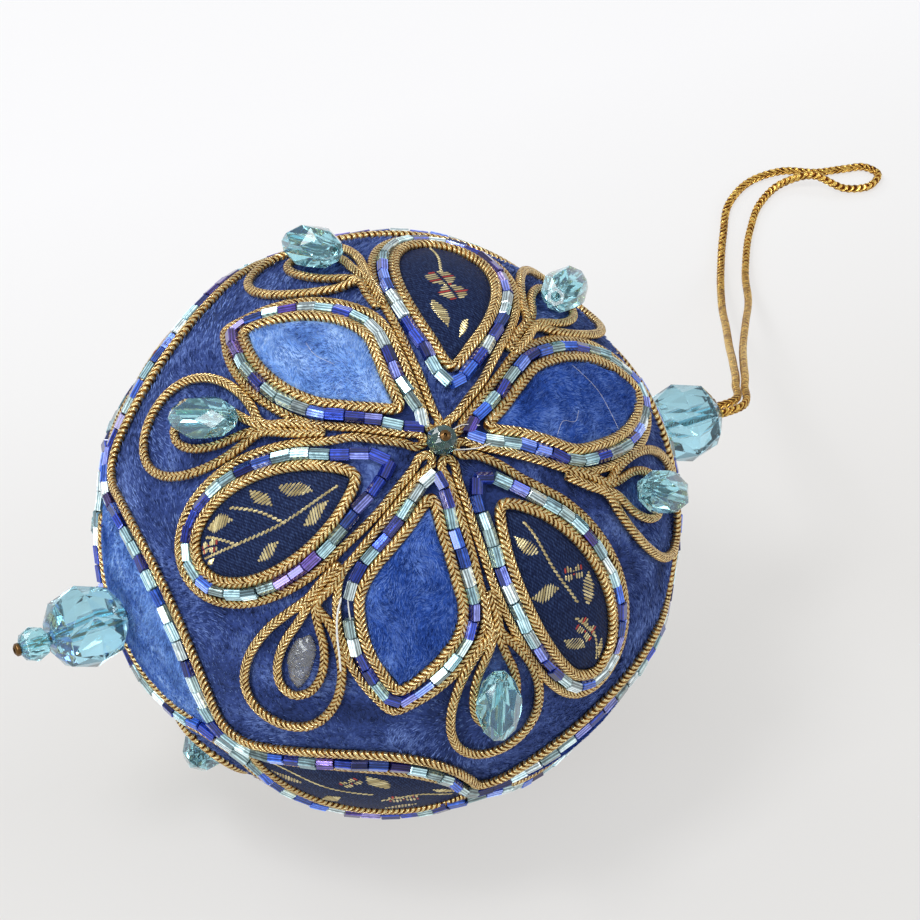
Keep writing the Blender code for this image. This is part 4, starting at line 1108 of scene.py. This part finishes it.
def beadRow(name, line, seed, bare=None):
    # beads threaded along a closed line, with none near to a bare place
    chance = np.random.default_rng(seed)
    outward = normed(line - ballCentre)
    line, outward = np.vstack([line, line[:1]]), np.vstack([outward, outward[:1]])
    run = np.concatenate([[0.0], np.cumsum(np.linalg.norm(np.diff(line, axis=0), axis=1))])
    count = max(int(run[-1] / (tubeBead["length"] + tubeBead["gap"])), 3)
    lengths = chance.uniform(*tubeBead["lengths"], count)
    cuts = np.concatenate([[0.0], np.cumsum(lengths)]) / lengths.sum() * run[-1]
    tints = beadColours(chance, count)
    parts = []
    for k in range(count):
        middle = (cuts[k] + cuts[k + 1]) / 2.0
        if bare is not None and np.linalg.norm(lineAt(line, run, middle) - bare) < handwork["bareReach"]:
            continue
        start, end = lineAt(line, run, cuts[k]), lineAt(line, run, cuts[k + 1])
        parts.append(threadedBead(chance, start, end, lineAt(outward, run, middle), tints[k]))
    points, faces, _, values = joinParts(parts)
    piece = makePiece(name, points, faces, glassTubes, None, values, smooth=False)
    return piece


# one flower: cloth, cords and beads of a side

cordSizes = {"inner": 1.52, "outer": 1.20, "tear": 1.28, "ring": 1.20, "border": 1.30}
cordSeat = {"flower": 0.45, "border": 0.46}  # share of its size that a cord's middle stands over the velvet
cordRings = {"front": (0.14, 10), "back": (0.19, 8)}  # length of a ring of faces, and faces round the cord
loopShape = {"inner": 0.80, "outer": 0.50, "half": 8, "neck": 0.66, "ringStart": 1.6, "ringLength": 12.2,
             "ringRoot": 2.6, "ringWidth": 3.25, "ringHalf": 6, "ringNeck": 0.5,
             # spread of the raised ends, height of their roots, height where they cross the cord
             "tearEnds": (1.6, 0.10, 0.42), "ringEnds": (2.2, 0.30, 0.45), "low": 0.05,
             "ovalAlong": 8.6, "ovalHeight": 3.2}


def cordOnBall(side, flat, closed, size, heights=0.0):
    step, sides = cordRings[side]
    line = smoothLine(flat, step, closed)
    if np.ndim(heights):
        places = np.linspace(0.0, 1.0, len(line))
        heights = np.interp(places, np.linspace(0.0, 1.0, len(heights)), heights)
    points = layOnBall(side, line, np.zeros(len(line)) + size * cordSeat["flower"] + heights)
    return cordPart(points, normed(points - ballCentre), size / 2.0, closed, sides=sides)


handwork = {
    # beads missing from a row, a glue spot in the ring that lost its oval, threads and stray hairs
    "bareRow": ("front", 5), "bareSpot": (-19.1, -27.4, 52.4), "bareReach": 1.35,
    "glue": {"place": (-28.8, -19.3), "heading": (-0.516, -0.857), "size": (3.9, 1.9), "height": 0.6,
             "corners": 40, "rings": 10},
    "threads": (
        # flat places, height, thickness
        (((-20.4, -12.6), (-21.4, -14.2), (-22.4, -17.0), (-22.9, -19.4), (-23.4, -21.6)), 1.75, 0.30),
        (((-19.6, -12.4), (-20.1, -14.2), (-20.5, -16.8)), 0.85, 0.22),
        (((-1.8, -0.6), (0.0, -1.1), (1.6, -1.4), (3.0, -1.3)), 1.35, 0.18),
        (((-1.4, 1.6), (0.6, 1.9), (2.6, 1.2)), 1.20, 0.15),
    ),
    "hairs": (
        (((19.2, 5.6), (20.4, 3.9), (21.6, 1.8), (22.2, -0.9), (22.6, -3.6)), 1.62, 0.04),
        (((12.0, -2.6), (13.6, -1.2), (15.4, -1.6), (16.6, -0.4)), 1.70, 0.035),
        (((-10.4, 15.2), (-11.8, 17.6), (-12.0, 19.8)), 1.62, 0.04),
        (((-33.0, 9.0), (-34.6, 7.2), (-34.4, 5.0)), 0.75, 0.045),
    ),
}


def makeThreads(name, threads, step, shade, slot, **shape):
    parts = []
    for flat, height, thickness in threads:
        line = layOnBall("front", smoothLine(flat, step, False), height)
        parts.append(cordPart(line, normed(line - ballCentre), thickness / 2.0, False, **shape))
    makeFromPart(name, joinParts(parts), whiteThread, shade)


def makeGlue():
    # a low drop, highest in the middle, with an uneven rim
    glue = handwork["glue"]
    corners = glue["corners"]
    turns = np.linspace(0.0, 2.0 * math.pi, corners, endpoint=False)
    reaches = np.linspace(0.0, 1.0, glue["rings"] + 1)[1:]
    heading = np.array(glue["heading"])
    square = np.array((-heading[1], heading[0]))
    edge = 1.0 + 0.07 * np.sin(3.0 * turns + 0.6) + 0.03 * np.sin(7.0 * turns)
    oval = (np.cos(turns)[:, None] * heading * glue["size"][0]
            + np.sin(turns)[:, None] * square * glue["size"][1])
    grid = reaches[:, None, None] * edge[None, :, None] * oval[None]
    flat = np.vstack([[glue["place"]], (grid + np.array(glue["place"])).reshape(-1, 2)])
    share = np.concatenate([[0.0], np.repeat(reaches, corners)])
    height = 0.15 + glue["height"] * (1.0 - share ** 2) * (1.0 + 0.45 * waves(flat, 1.7, 5))
    top = layOnBall("front", flat, height)
    under = layOnBall("front", flat, np.full(len(flat), 0.02))
    lanes = np.arange(corners)
    after = (lanes + 1) % corners
    near = 1 + np.arange(glue["rings"] - 1)[:, None] * corners
    far = near + corners
    quads = np.stack([near + lanes, far + lanes, far + after, near + after], axis=-1).reshape(-1, 4)
    fan = np.stack([np.zeros(corners, int), 1 + after, 1 + lanes], axis=-1)
    halves = np.vstack([quads[:, [0, 1, 2]], quads[:, [0, 2, 3]], fan])
    rim, low = 1 + (glue["rings"] - 1) * corners, len(flat)
    wall = np.stack([rim + lanes, low + rim + lanes, low + rim + after, rim + after], axis=-1)
    faces = np.vstack([halves, halves[:, ::-1] + low, wall[:, [0, 1, 2]], wall[:, [0, 2, 3]]])
    piece = makePiece("gluePatch", np.vstack([top, under]), faces, driedGlue)
    deselectAll()
    piece.select_set(True)
    bpy.context.view_layer.objects.active = piece
    bpy.ops.object.mode_set(mode="EDIT")
    bpy.ops.mesh.select_all(action="SELECT")
    bpy.ops.mesh.normals_make_consistent(inside=False)
    bpy.ops.object.mode_set(mode="OBJECT")


def raisedEnds(share, spread, root, crossing):
    # heights along a loop whose two ends stand on the cord under them
    low = loopShape["low"]
    places = [0.0, share, share * spread, 1.0 - share * spread, 1.0 - share, 1.0]
    return np.interp(np.linspace(0.0, 1.0, 80), places, [root, crossing, low, low, crossing, root])


def flatLength(points):
    return lineLength(np.array([tuple(p) for p in points]))


def teardropLoop(side, row, fastened):
    # a cord from its stem round a teardrop and back
    tear = leafOutline(row, loopShape["inner"], loopShape["outer"], loopShape["half"])
    tip = tear[0]
    along = (tip - fastened).normalized()
    aside = Vector((along.y, -along.x)) * loopShape["neck"]
    neck = [fastened + aside * 0.55, fastened.lerp(tip, 0.5) + aside, tip + aside * 1.1]
    back = [tip - aside * 1.1, fastened.lerp(tip, 0.5) - aside, fastened - aside * 0.55]
    flat = neck + tear[1:] + back
    share = (tip - fastened).length / flatLength(flat)
    return cordOnBall(side, flat, False, cordSizes["tear"], raisedEnds(share, *loopShape["tearEnds"]))


def smallRing(side, row):
    # the ring of cord inside a teardrop
    start, end = rowEnds(row)
    heading = (end - start).normalized()
    near = start + heading * loopShape["ringStart"]
    far = near + heading * loopShape["ringLength"]
    small = {"u0": near.x, "v0": near.y, "u1": far.x, "v1": far.y,
             "left": loopShape["ringWidth"], "right": loopShape["ringWidth"]}
    ring = leafOutline(small, loopShape["inner"], loopShape["outer"], loopShape["ringHalf"])
    square = Vector((heading.y, -heading.x)) * loopShape["ringNeck"]
    root = near - heading * loopShape["ringRoot"]
    neck, back = near.lerp(root, 0.4) + square, near.lerp(root, 0.4) - square
    flat = [root + square * 0.6, neck] + ring[1:] + [back, root - square * 0.6]
    share = loopShape["ringRoot"] / flatLength(flat)
    return cordOnBall(side, flat, False, cordSizes["ring"], raisedEnds(share, *loopShape["ringEnds"]))


def makePetal(side, index, row, middle, beside, seed):
    # panel, gold cord and bead row of one petal; gives the bead row's flat line
    number = index + 1
    cloth = leafOutline(row, row["inner"], row["outer"], flowerRows["clothSamples"])
    cloth = clearOfStems(cloth, middle, beside, flowerRows["stemCloth"])

    def rowRound(distance, clearance):
        line = movedOut(cloth, distance, row["outer"] < flowerRows["bluntTip"])
        return clearOfStems(line, middle, beside, clearance)

    petalPanel(side, number, row, movedOut(cloth, petalCloth["underCord"]), seed + number)
    cordLine = rowRound(flowerRows["innerCord"], flowerRows["stemInnerCord"])
    part = cordOnBall(side, cordLine, True, cordSizes["inner"])
    cord = makeFromPart(f"petalCord_{side}_{number}", part, goldCord)
    solid = "petal_cord" if side == "front" else "petal_panel"  # the back cords have no solids of their own
    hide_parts(f"{solid}_{side}_{number}")
    beadLine = rowRound(flowerRows["beads"], flowerRows["stemBeads"])
    inward = (middle - beadLine[0]).normalized()
    beadLine[0] = beadLine[0] + inward * flowerRows["beadReach"][side][index]
    beadFlat = smoothLine(beadLine, flowerRows["step"], True)
    line = layOnBall(side, beadFlat, np.full(len(beadFlat), tubeBead["radius"] * 0.98))
    bare = np.array(handwork["bareSpot"]) if (side, number) == handwork["bareRow"] else None
    beads = beadRow(f"petalBeads_{side}_{number}", line, seed + 30 + number, bare)
    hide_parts(f"petal_beads_{side}_{number}")
    return beadFlat


def makeFlower(side, seed):
    petals, loops = rowsOf(petalColumns, petalTables[side]), rowsOf(loopColumns, loopTables[side])
    middle = Vector(flowerCentres[side])
    stems = [(rowEnds(row)[0] - middle).normalized() for row in loops]
    outlines = []
    for index, row in enumerate(petals):
        outlines.append(makePetal(side, index, row, middle, (stems[index - 1], stems[index]), seed))
    parts = [cordOnBall(side, rosetteLine(middle, petals, stems), True, cordSizes["outer"])]
    for stem, row in zip(stems, loops):
        parts.append(teardropLoop(side, row, middle + stem * row["join"]))
        if row["ring"]:
            parts.append(smallRing(side, row))
    part = joinParts(parts)
    gold = makeFromPart(f"goldLoops_{side}", part, goldCord)
    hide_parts(f"gold_loops_{side}")
    print(side, "flower made,", len(part[1]), "faces in its loops")
    return outlines


# cut glass

cutting = {"polish": 0.05, "endFace": 0.97}  # bevel of the edges in mm, least slope of an end face


def cutBead(name, rings, turns, sides, rim, place, axis, material):
    # rings of corners joined by a hull, as a cutter leaves flat facets, then drilled along its axis
    deselectAll()
    for index, ((radius, along), turn) in enumerate(zip(rings, turns)):
        bpy.ops.mesh.primitive_circle_add(vertices=sides, radius=radius * mm, location=(0.0, 0.0, along * mm),
                                          rotation=(0.0, 0.0, turn * math.pi / sides))
        if index == 0:
            thing = bpy.context.object
            bpy.ops.object.transform_apply(location=True, rotation=True, scale=True)
            bpy.ops.object.mode_set(mode="EDIT")
    bpy.ops.mesh.select_all(action="SELECT")
    bpy.ops.mesh.convex_hull()
    selectFaces(thing, lambda spot, normal: abs(normal.z) > cutting["endFace"])
    bpy.ops.mesh.dissolve_faces()
    selectFaces(thing, lambda spot, normal: abs(normal.z) > cutting["endFace"])
    bpy.ops.mesh.inset(thickness=rim * mm, use_individual=True)
    bpy.ops.mesh.bridge_edge_loops()
    bpy.ops.mesh.select_all(action="SELECT")
    bpy.ops.mesh.normals_make_consistent(inside=False)
    bpy.ops.object.mode_set(mode="OBJECT")
    thing.name = thing.data.name = name
    turnTo = Vector(axis).to_track_quat("Z", "Y").to_matrix().to_4x4()
    thing.data.transform(Matrix.Translation(Vector(place) * mm) @ turnTo)
    bevel = thing.modifiers.new("polishedEdges", "BEVEL")
    bevel.width = cutting["polish"] * mm
    bevel.segments = 1
    bpy.context.view_layer.objects.active = thing
    bpy.ops.object.modifier_apply(modifier="polishedEdges")
    thing.data.materials.append(material)
    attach(thing, body)
    return thing


# rings are shares of radius and length, a turn of 1 is half a facet
ovalGlass = {"length": 9.4, "radius": 2.88, "sides": 6, "rim": 0.55, "thread": 0.13,
             "rings": ((0.44, 0.5), (0.80, 0.33), (1.0, 0.10), (1.0, -0.10), (0.80, -0.33), (0.44, -0.5)),
             "turns": (0, 1, 0, 0, 1, 0),
             "slides": {"ovalGlass_front_3": (-1.8, -0.3), "ovalGlass_front_5": (0.0, -0.6)}}  # along, across
roundGlass = {"rings": ((0.42, 0.5), (0.80, 0.36), (1.0, 0.0), (0.80, -0.36), (0.42, -0.5)),
              "turns": (0, 1, 0, 1, 0),
              # radius, length, sides, rim round the hole
              "finial": (5.35, 9.8, 10, 1.35), "hanging": (5.2, 9.5, 10, 1.35), "tip": (2.25, 3.8, 8, 0.4),
              "centre": (2.0, 4.0, 8, 0.35)}
poleWork = {"seat": 37.4, "gap": 0.3, "threadRoot": 36.2, "finialThread": 0.36, "hangingThread": 0.60,
            "hangingEnd": 47.6,
            "crimp": ((0.55, 0.45), (0.85, 0.2), (0.85, -0.2), (0.55, -0.45)), "crimpPast": 0.35}
centreWork = {"height": 2.5, "threadRadius": 0.3, "threadDown": 2.4, "threadUp": 2.1,
              "knot": ((0.35, 0.42), (0.72, 0.25), (0.78, -0.1), (0.45, -0.4)), "knotPast": 0.05}


def scaledRings(pattern, radius, length):
    return tuple((r * radius, a * length) for r, a in pattern)


def roundBead(name, size, place, axis, material):
    radius, length, sides, rim = roundGlass[size]
    rings = scaledRings(roundGlass["rings"], radius, length)
    return cutBead(name, rings, roundGlass["turns"], sides, rim, place, axis, material)


def innerThread(name, start, end, radius, material):
    line = np.linspace(start, end, 24)
    outward = carried(line, np.array((0.13, 0.21, 1.0)))  # any direction off the line
    part = cordPart(line, outward, radius, False, pitch=0.5, sides=6, depth=0.3)
    makeFromPart(name, part, material, 0.45)


def makeOvals(side):
    for index, row in enumerate(rowsOf(loopColumns, loopTables[side])):
        if not row["bead"]:
            continue
        number = index + 1
        name = f"ovalGlass_{side}_{number}"
        start = np.array((row["u0"], row["v0"]))
        heading = normed(np.array((row["u1"], row["v1"])) - start)
        square = np.array((-heading[1], heading[0]))
        along, across = ovalGlass["slides"].get(name, (0.0, 0.0))
        spot = start + heading * (loopShape["ovalAlong"] + along) + square * across
        place = layOnBall(side, spot, loopShape["ovalHeight"])
        axis = normed(layOnBall(side, spot + heading, loopShape["ovalHeight"]) - place)
        rings = scaledRings(ovalGlass["rings"], ovalGlass["radius"], ovalGlass["length"])
        bead = cutBead(name, rings, ovalGlass["turns"], ovalGlass["sides"], ovalGlass["rim"], place, axis,
                       aquaGlass)
        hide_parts(f"oval_bead_{side}_{number}")
        half = ovalGlass["length"] / 2.0
        curve = smoothLine([place - axis * half * 0.97, place, place + axis * half * 0.97], 0.3, False)
        outward = carried(curve, normed(place - ballCentre))
        part = cordPart(curve, outward, ovalGlass["thread"], False, pitch=0.5, sides=6, depth=0.2)
        thread = makeFromPart(f"beadThread_{side}_{number}", part, greyThread, 0.3)


def makePoleBeads():
    for size, sign in (("finial", -1.0), ("hanging", 1.0)):
        place = ballCentre + beadAxis * sign * (poleWork["seat"] + roundGlass[size][1] / 2.0)
        bead = roundBead(f"{size}Glass", size, place, beadAxis * sign, skyGlass)
        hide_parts(f"{size}_bead")
    length = roundGlass["tip"][1]
    edge = poleWork["seat"] + roundGlass["finial"][1] + poleWork["gap"]
    place = ballCentre - beadAxis * (edge + length / 2.0)
    bead = roundBead("finialTipGlass", "tip", place, -beadAxis, aquaGlass)
    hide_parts("finial_tip_bead")
    root = beadAxis * poleWork["threadRoot"]
    innerThread("finialThread", ballCentre - root, ballCentre - beadAxis * (edge + length + 0.1),
                poleWork["finialThread"], bronzeMetal)
    innerThread("hangingThread", ballCentre + root, ballCentre + beadAxis * poleWork["hangingEnd"],
                poleWork["hangingThread"], greyCord)
    place = ballCentre - beadAxis * (edge + length + poleWork["crimpPast"])
    crimp = cutBead("finialCrimp", poleWork["crimp"], (0, 0, 0, 0), 8, 0.15, place, -beadAxis, bronzeMetal)


def makeCentreBead(side):
    place = layOnBall(side, flowerCentres[side], centreWork["height"])
    axis = normed(place - ballCentre)
    bead = roundBead(f"centreGlass_{side}", "centre", place, axis, smokeGlass)
    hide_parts(f"centre_bead_{side}")
    top = place + axis * (roundGlass["centre"][1] / 2.0 + centreWork["knotPast"])
    knot = cutBead(f"centreKnot_{side}", centreWork["knot"], (0, 1, 0, 1), 7, 0.12, top, axis, bronzeMetal)
    low, high = place - axis * centreWork["threadDown"], place + axis * centreWork["threadUp"]
    innerThread(f"centreThread_{side}", low, high, centreWork["threadRadius"], bronzeMetal)


# girdle: two borders of cord and beads, and six pointed cloths between them

girdleColumns = ("start", "shift", "front", "back", "peak", "cloth")  # angles in degrees
girdleTable = (
    (-32.0, 2.0, 16.5, 16.5, 0.50, "brocade"),
    (30.0, -1.0, 16.5, 16.5, 0.50, "blue"),
    (90.0, -1.0, 16.5, 16.5, 0.50, "brocade"),
    (151.0, -1.0, 18.5, 17.5, 0.50, "sky"),
    (212.0, 1.5, 18.5, 16.5, 0.60, "brocade"),
    (265.0, 3.0, 14.0, 16.5, 0.50, "blue"),
)
girdleShape = {"power": 0.85, "cordClear": 2.55, "beadClear": 0.95, "beadInset": 1.68, "cordInset": 3.15,
               "cordHeight": 0.55, "samples": 40, "step": 3.0}


def girdleRows():
    table = rowsOf(girdleColumns, girdleTable)
    for row, after in zip(table, table[1:] + table[:1]):
        row["end"] = after["start"] if after["start"] > row["start"] else after["start"] + 360.0
        row["shiftEnd"] = after["shift"]
    return table


def girdlePlace(row, share, offset):
    turn = math.radians(row["start"] + (row["end"] - row["start"]) * share)
    shift = math.radians(row["shift"] + (row["shiftEnd"] - row["shift"]) * share)
    angle = math.pi / 2.0 - shift - offset / ball["radius"]
    side = beadAxis * math.cos(turn) + ballSides["front"][2] * math.sin(turn)
    return flowerAxis * math.cos(angle) + side * math.sin(angle)


def girdleWidth(row, side, share):
    wide = math.radians(row["front"] if side > 0 else row["back"]) * ball["radius"]
    power = girdleShape["power"] * 2.0
    return wide * swelling(share, power * row["peak"], power * (1.0 - row["peak"]))


def openShares(row, inset):
    # the first and last share of a cloth at which both its sides are wider than the inset
    wide = [s for s in np.linspace(0.0, 1.0, 401) if min(girdleWidth(row, side, s) for side in (1, -1)) > inset]
    return wide[0], wide[-1]


def girdleOffset(spot, table):
    # how far a place lies from the girdle's middle line, in mm toward the front
    turn = math.degrees(math.atan2(spot @ ballSides["front"][2], spot @ beadAxis))
    if turn < table[0]["start"]:
        turn += 360.0
    row = next(r for r in table if r["start"] <= turn <= r["end"])
    share = (turn - row["start"]) / (row["end"] - row["start"])
    shift = row["shift"] + (row["shiftEnd"] - row["shift"]) * share
    return math.radians(90.0 - shift - math.degrees(math.acos(float(spot @ flowerAxis)))) * ball["radius"]


def borderLine(table, side):
    line = []
    for row in table:
        for i in range(girdleShape["samples"]):
            share = i / girdleShape["samples"]
            offset = max(girdleWidth(row, side, share), girdleShape["cordClear"])
            line.append(girdlePlace(row, share, side * offset))
    line = np.array(line + line[:1])
    return normed(evenly(line, lineLength(line) / (len(line) - 1), True))


def insideBorder(line, table, side, inset, clear):
    moved = []
    for i, spot in enumerate(line):
        tangent = normed(line[(i + 1) % len(line)] - line[i - 1])
        place = normed(spot + np.cross(spot, tangent) * -side * inset / ball["radius"])
        short = clear - side * girdleOffset(place, table)
        if short > 0.0:
            place = normed(place + flowerAxis * side * short / ball["radius"])
        moved.append(place)
    return np.array(moved)


def coarse(line, step):
    # every few mm only, so that corners come out as a cord would turn them
    closed = np.vstack([line, line[:1]])
    return normed(evenly(closed, step / ball["radius"], True))


def makeGirdle(seed):
    table = girdleRows()
    for sign, side in ((1, "front"), (-1, "back")):
        border = borderLine(table, sign)
        inside = insideBorder(border, table, sign, girdleShape["beadInset"], girdleShape["beadClear"])
        step, sides = cordRings[side]
        size = cordSizes["border"]
        route = coarse(border, girdleShape["step"]) * (ball["radius"] + size * cordSeat["border"]) + ballCentre
        line = smoothLine(route, step, True)
        part = cordPart(line, normed(line - ballCentre), size / 2.0, True, sides=sides)
        cord = makeFromPart(f"borderCord_{side}", part, goldCord)
        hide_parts(f"border_cord_{side}")
        route = coarse(inside, girdleShape["step"]) * (ball["radius"] + tubeBead["radius"]) + ballCentre
        beads = beadRow(f"borderBeads_{side}", smoothLine(route, 0.2, True), seed + sign)
        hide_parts(f"border_beads_{side}")
    for number, row in enumerate(table, start=1):
        girdlePanel(number, row, seed + 40 + number)
        girdleCord(number, row)


def girdleCord(number, row):
    # a cord just inside the bead rows, round one girdle cloth
    inset = girdleShape["cordInset"]
    shares = np.linspace(*openShares(row, inset + 0.1), 17)
    front = [girdlePlace(row, s, girdleWidth(row, 1, s) - inset) for s in shares]
    back = [girdlePlace(row, s, inset - girdleWidth(row, -1, s)) for s in shares[::-1][1:-1]]
    closed = row["cloth"] == "brocade"  # the felt panels have it on the back edge alone
    step, sides = cordRings["back"]
    route = np.array(front + back if closed else back) * (ball["radius"] + girdleShape["cordHeight"])
    line = smoothLine(route + ballCentre, step, closed)
    part = cordPart(line, normed(line - ballCentre), cordSizes["outer"] / 2.0, closed, sides=sides)
    makeFromPart(f"girdleCord_{number}", part, goldCord)


def girdlePanel(number, row, seed):
    inset, least = girdleCloth["inset"], girdleCloth["least"]
    low, high = openShares(row, inset + least)
    cloth = row["cloth"]

    def edges(share):
        s = low + (high - low) * share
        return max(girdleWidth(row, 1, s) - inset, least), max(girdleWidth(row, -1, s) - inset, least)

    def flatPlace(share, lane):
        front, back = edges(share)
        angle = math.radians(row["end"] - row["start"]) * (low + (high - low) * share)
        return angle * ball["radius"], (front - back) / 2.0 + (front + back) / 2.0 * lane

    def place(share, lane):
        domed = math.sin(math.pi * min(max(share, 0.0), 1.0)) ** 0.5
        height = girdleCloth["edge"] + girdleCloth["crown"] * (1.0 - lane ** 4) * domed
        direction = girdlePlace(row, low + (high - low) * share, flatPlace(share, lane)[1])
        return ballCentre + direction * (ball["radius"] + height)

    stations = np.linspace(*girdleCloth["ends"], girdleCloth["stations"])
    lanes = np.linspace(-1.0, 1.0, girdleCloth["lanes"])
    top = np.array([[place(s, t) for t in lanes] for s in stations])
    flat = np.array([[flatPlace(s, t) for t in lanes] for s in stations])
    name = f"{cloth}Girdle_{number}"
    piece, normals = makeCloth(name, top, flat, girdleCloth["thickness"], cloth, seed)
    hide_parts(f"girdle_panel_{number}")
    if cloth == "brocade":
        unit = (float(np.ptp(flat[:, 0, 0])), sum(edges(0.5)) / 2.0)
        extras = brocadeFloats(name, place, unit, brocadeWork["designs"][number % 3], seed)
    else:
        extras = [feltPile(name, top, normals, flat, cloth, seed)]
    declareCloth(np.vstack([flat[:, 0], flat[::-1, -1]]))


# the velvet ball and its brushed pile

velvet = {"subdivisions": 6, "sunk": 0.05, "unevenness": 0.10, "flatSpot": 0.9}


def makeBall(seed):
    deselectAll()
    bpy.ops.mesh.primitive_ico_sphere_add(subdivisions=velvet["subdivisions"], radius=ball["radius"] * mm)
    thing = bpy.context.object
    thing.name = thing.data.name = "velvetBall"
    mesh = thing.data
    points = np.empty(len(mesh.vertices) * 3)
    mesh.vertices.foreach_get("co", points)
    outward = normed(points.reshape(-1, 3))
    radii = ball["radius"] - velvet["sunk"] + velvet["unevenness"] * waves(outward * ball["radius"], 3.0, seed)
    placed = ballCentre + outward * radii[:, None]
    placed[:, 2] = np.maximum(placed[:, 2], velvet["flatSpot"])
    mesh.vertices.foreach_set("co", (placed * mm).ravel())
    patches = 0.32 + 0.3 * waves(outward * ball["radius"], 9.0, seed + 1)
    shade = mesh.attributes.new("shade", "FLOAT", "POINT")
    shade.data.foreach_set("value", np.clip(patches, 0.0, 1.0))
    bpy.ops.object.shade_smooth()
    mesh.materials.append(navyVelvet)
    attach(thing, body)
    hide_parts("velvet_ball")


def velvetPile(outlines, seed):
    # fibres all over the ball, but not inside the petals' flat outlines or under the ball
    chance = np.random.default_rng(seed)
    count = int(pile["velvet"]["count"] * (1.0))
    outward = normed(chance.normal(size=(int(count * pile["velvet"]["drawn"]), 3)))
    keep = np.ones(len(outward), bool)
    for side, rows in outlines.items():
        axis, along, across = ballSides[side]
        angle = np.arccos(np.clip(outward @ axis, -1.0, 1.0)) * ball["radius"]
        turned = np.stack([outward @ along, outward @ across], axis=1)
        flat = normed(turned) * angle[:, None]
        for outline in rows:
            keep &= ~insideOutline(flat, outline)
    keep &= outward[:, 2] > pile["velvet"]["underside"]
    outward = outward[keep][:count]
    places = outward * ball["radius"]
    swirl = np.stack([waves(places, 17.0, seed + k) for k in range(3)], axis=1)
    heading = normed(np.cross(outward, flowerAxis) * 0.6 + swirl + 0.3)
    strokes = addedWaves(places, pile["velvet"]["strokes"], seed + 7)
    grain = chance.normal(0.0, pile["velvet"]["grain"], len(outward))
    shade = np.clip(pile["velvet"]["shade"] + strokes + grain, 0.0, 1.0)
    roots = ballCentre + outward * (ball["radius"] - pile["velvet"]["sunk"])
    piece = growPile("velvetPile", roots, outward, heading, pile["velvet"], navyVelvet, shade, seed)


seeds = {"ball": 3, "front": 100, "back": 200, "pile": 17, "girdle": 300}

makeBall(seeds["ball"])
print("ball made")
velvetPile({side: makeFlower(side, seeds[side]) for side in ("front", "back")}, seeds["pile"])
print("pile grown")
makeThreads("looseThreads", handwork["threads"], step=0.16, shade=0.6, slot="gold_cord", pitch=0.5, sides=6,
            depth=0.25)
makeThreads("strayHairs", handwork["hairs"], step=0.3, shade=0.4, slot="sky_felt", pitch=2.0, sides=4,
            depth=0.0)
makeGlue()
print("threads and glue made")
for side in ("front", "back"):
    makeOvals(side)
makePoleBeads()
for side in ("front", "back"):
    makeCentreBead(side)
print("cut glass made")
makeGirdle(seeds["girdle"])
print("girdle made")


# floor and studio light

studio = {
    "floorSize": 24.0,
    "world": 0.74,
    "sky": ((0.0, (0.36, 0.37, 0.39)), (0.35, (0.62, 0.63, 0.65)), (1.0, (0.98, 0.99, 1.0))),
    "floorColours": ((0.205, 0.206, 0.210), (0.215, 0.217, 0.222)),
    # painted light: the floor's glow, from front to back
    "floorGlow": ((0.18, (0.560, 0.548, 0.528)), (0.45, (0.615, 0.605, 0.590)), (0.72, (0.67, 0.665, 0.66)),
                  (1.0, (0.710, 0.706, 0.712))),
    "lights": (
        # name, place in m, size in m, power in W, colour
        ("keySoftbox", (-0.52, -0.10, 1.15), 0.30, 6.4, (1.0, 0.99, 0.97)),
        ("fillSoftbox", (0.75, -0.70, 0.60), 0.5, 2.2, (0.97, 0.98, 1.0)),
        ("sideSoftbox", (-0.95, -0.45, 0.42), 0.4, 3.6, (0.93, 0.98, 1.0)),
        ("backStrip", (-0.25, 0.80, 0.60), 0.30, 1.8, (1.0, 1.0, 1.0)),
    ),
}


def makeStudio():
    deselectAll()
    bpy.ops.mesh.primitive_plane_add(size=studio["floorSize"])
    floor = bpy.context.object
    floor.name = "paleFloor"
    floor.data.materials.append(floorMaterial())
    for name, place, size, power, colour in studio["lights"]:
        light = bpy.data.lights.new(name, "AREA")
        light.shape = "SQUARE"
        light.size = size
        light.energy = power
        light.color = colour
        thing = bpy.data.objects.new(name, light)
        thing.location = place
        aim = Vector(ball["centre"]) * mm - Vector(place)
        thing.rotation_euler = aim.to_track_quat("-Z", "Y").to_euler()
        bpy.context.scene.collection.objects.link(thing)
    world = bpy.data.worlds.new("paleRoom")
    world.use_nodes = True
    tree = world.node_tree  # brighter overhead than at eye level, so that cut facets differ
    split = addNode(tree, "SeparateXYZ")
    link(tree, (addNode(tree, "TexCoord"), "Generated"), split, 0)
    background = tree.nodes["Background"]
    link(tree, rampNode(tree, (split, 2), studio["sky"]), background, "Color")
    background.inputs["Strength"].default_value = studio["world"]
    bpy.context.scene.world = world
    bpy.context.scene.view_settings.view_transform = "Standard"


makeStudio()
print("studio made")
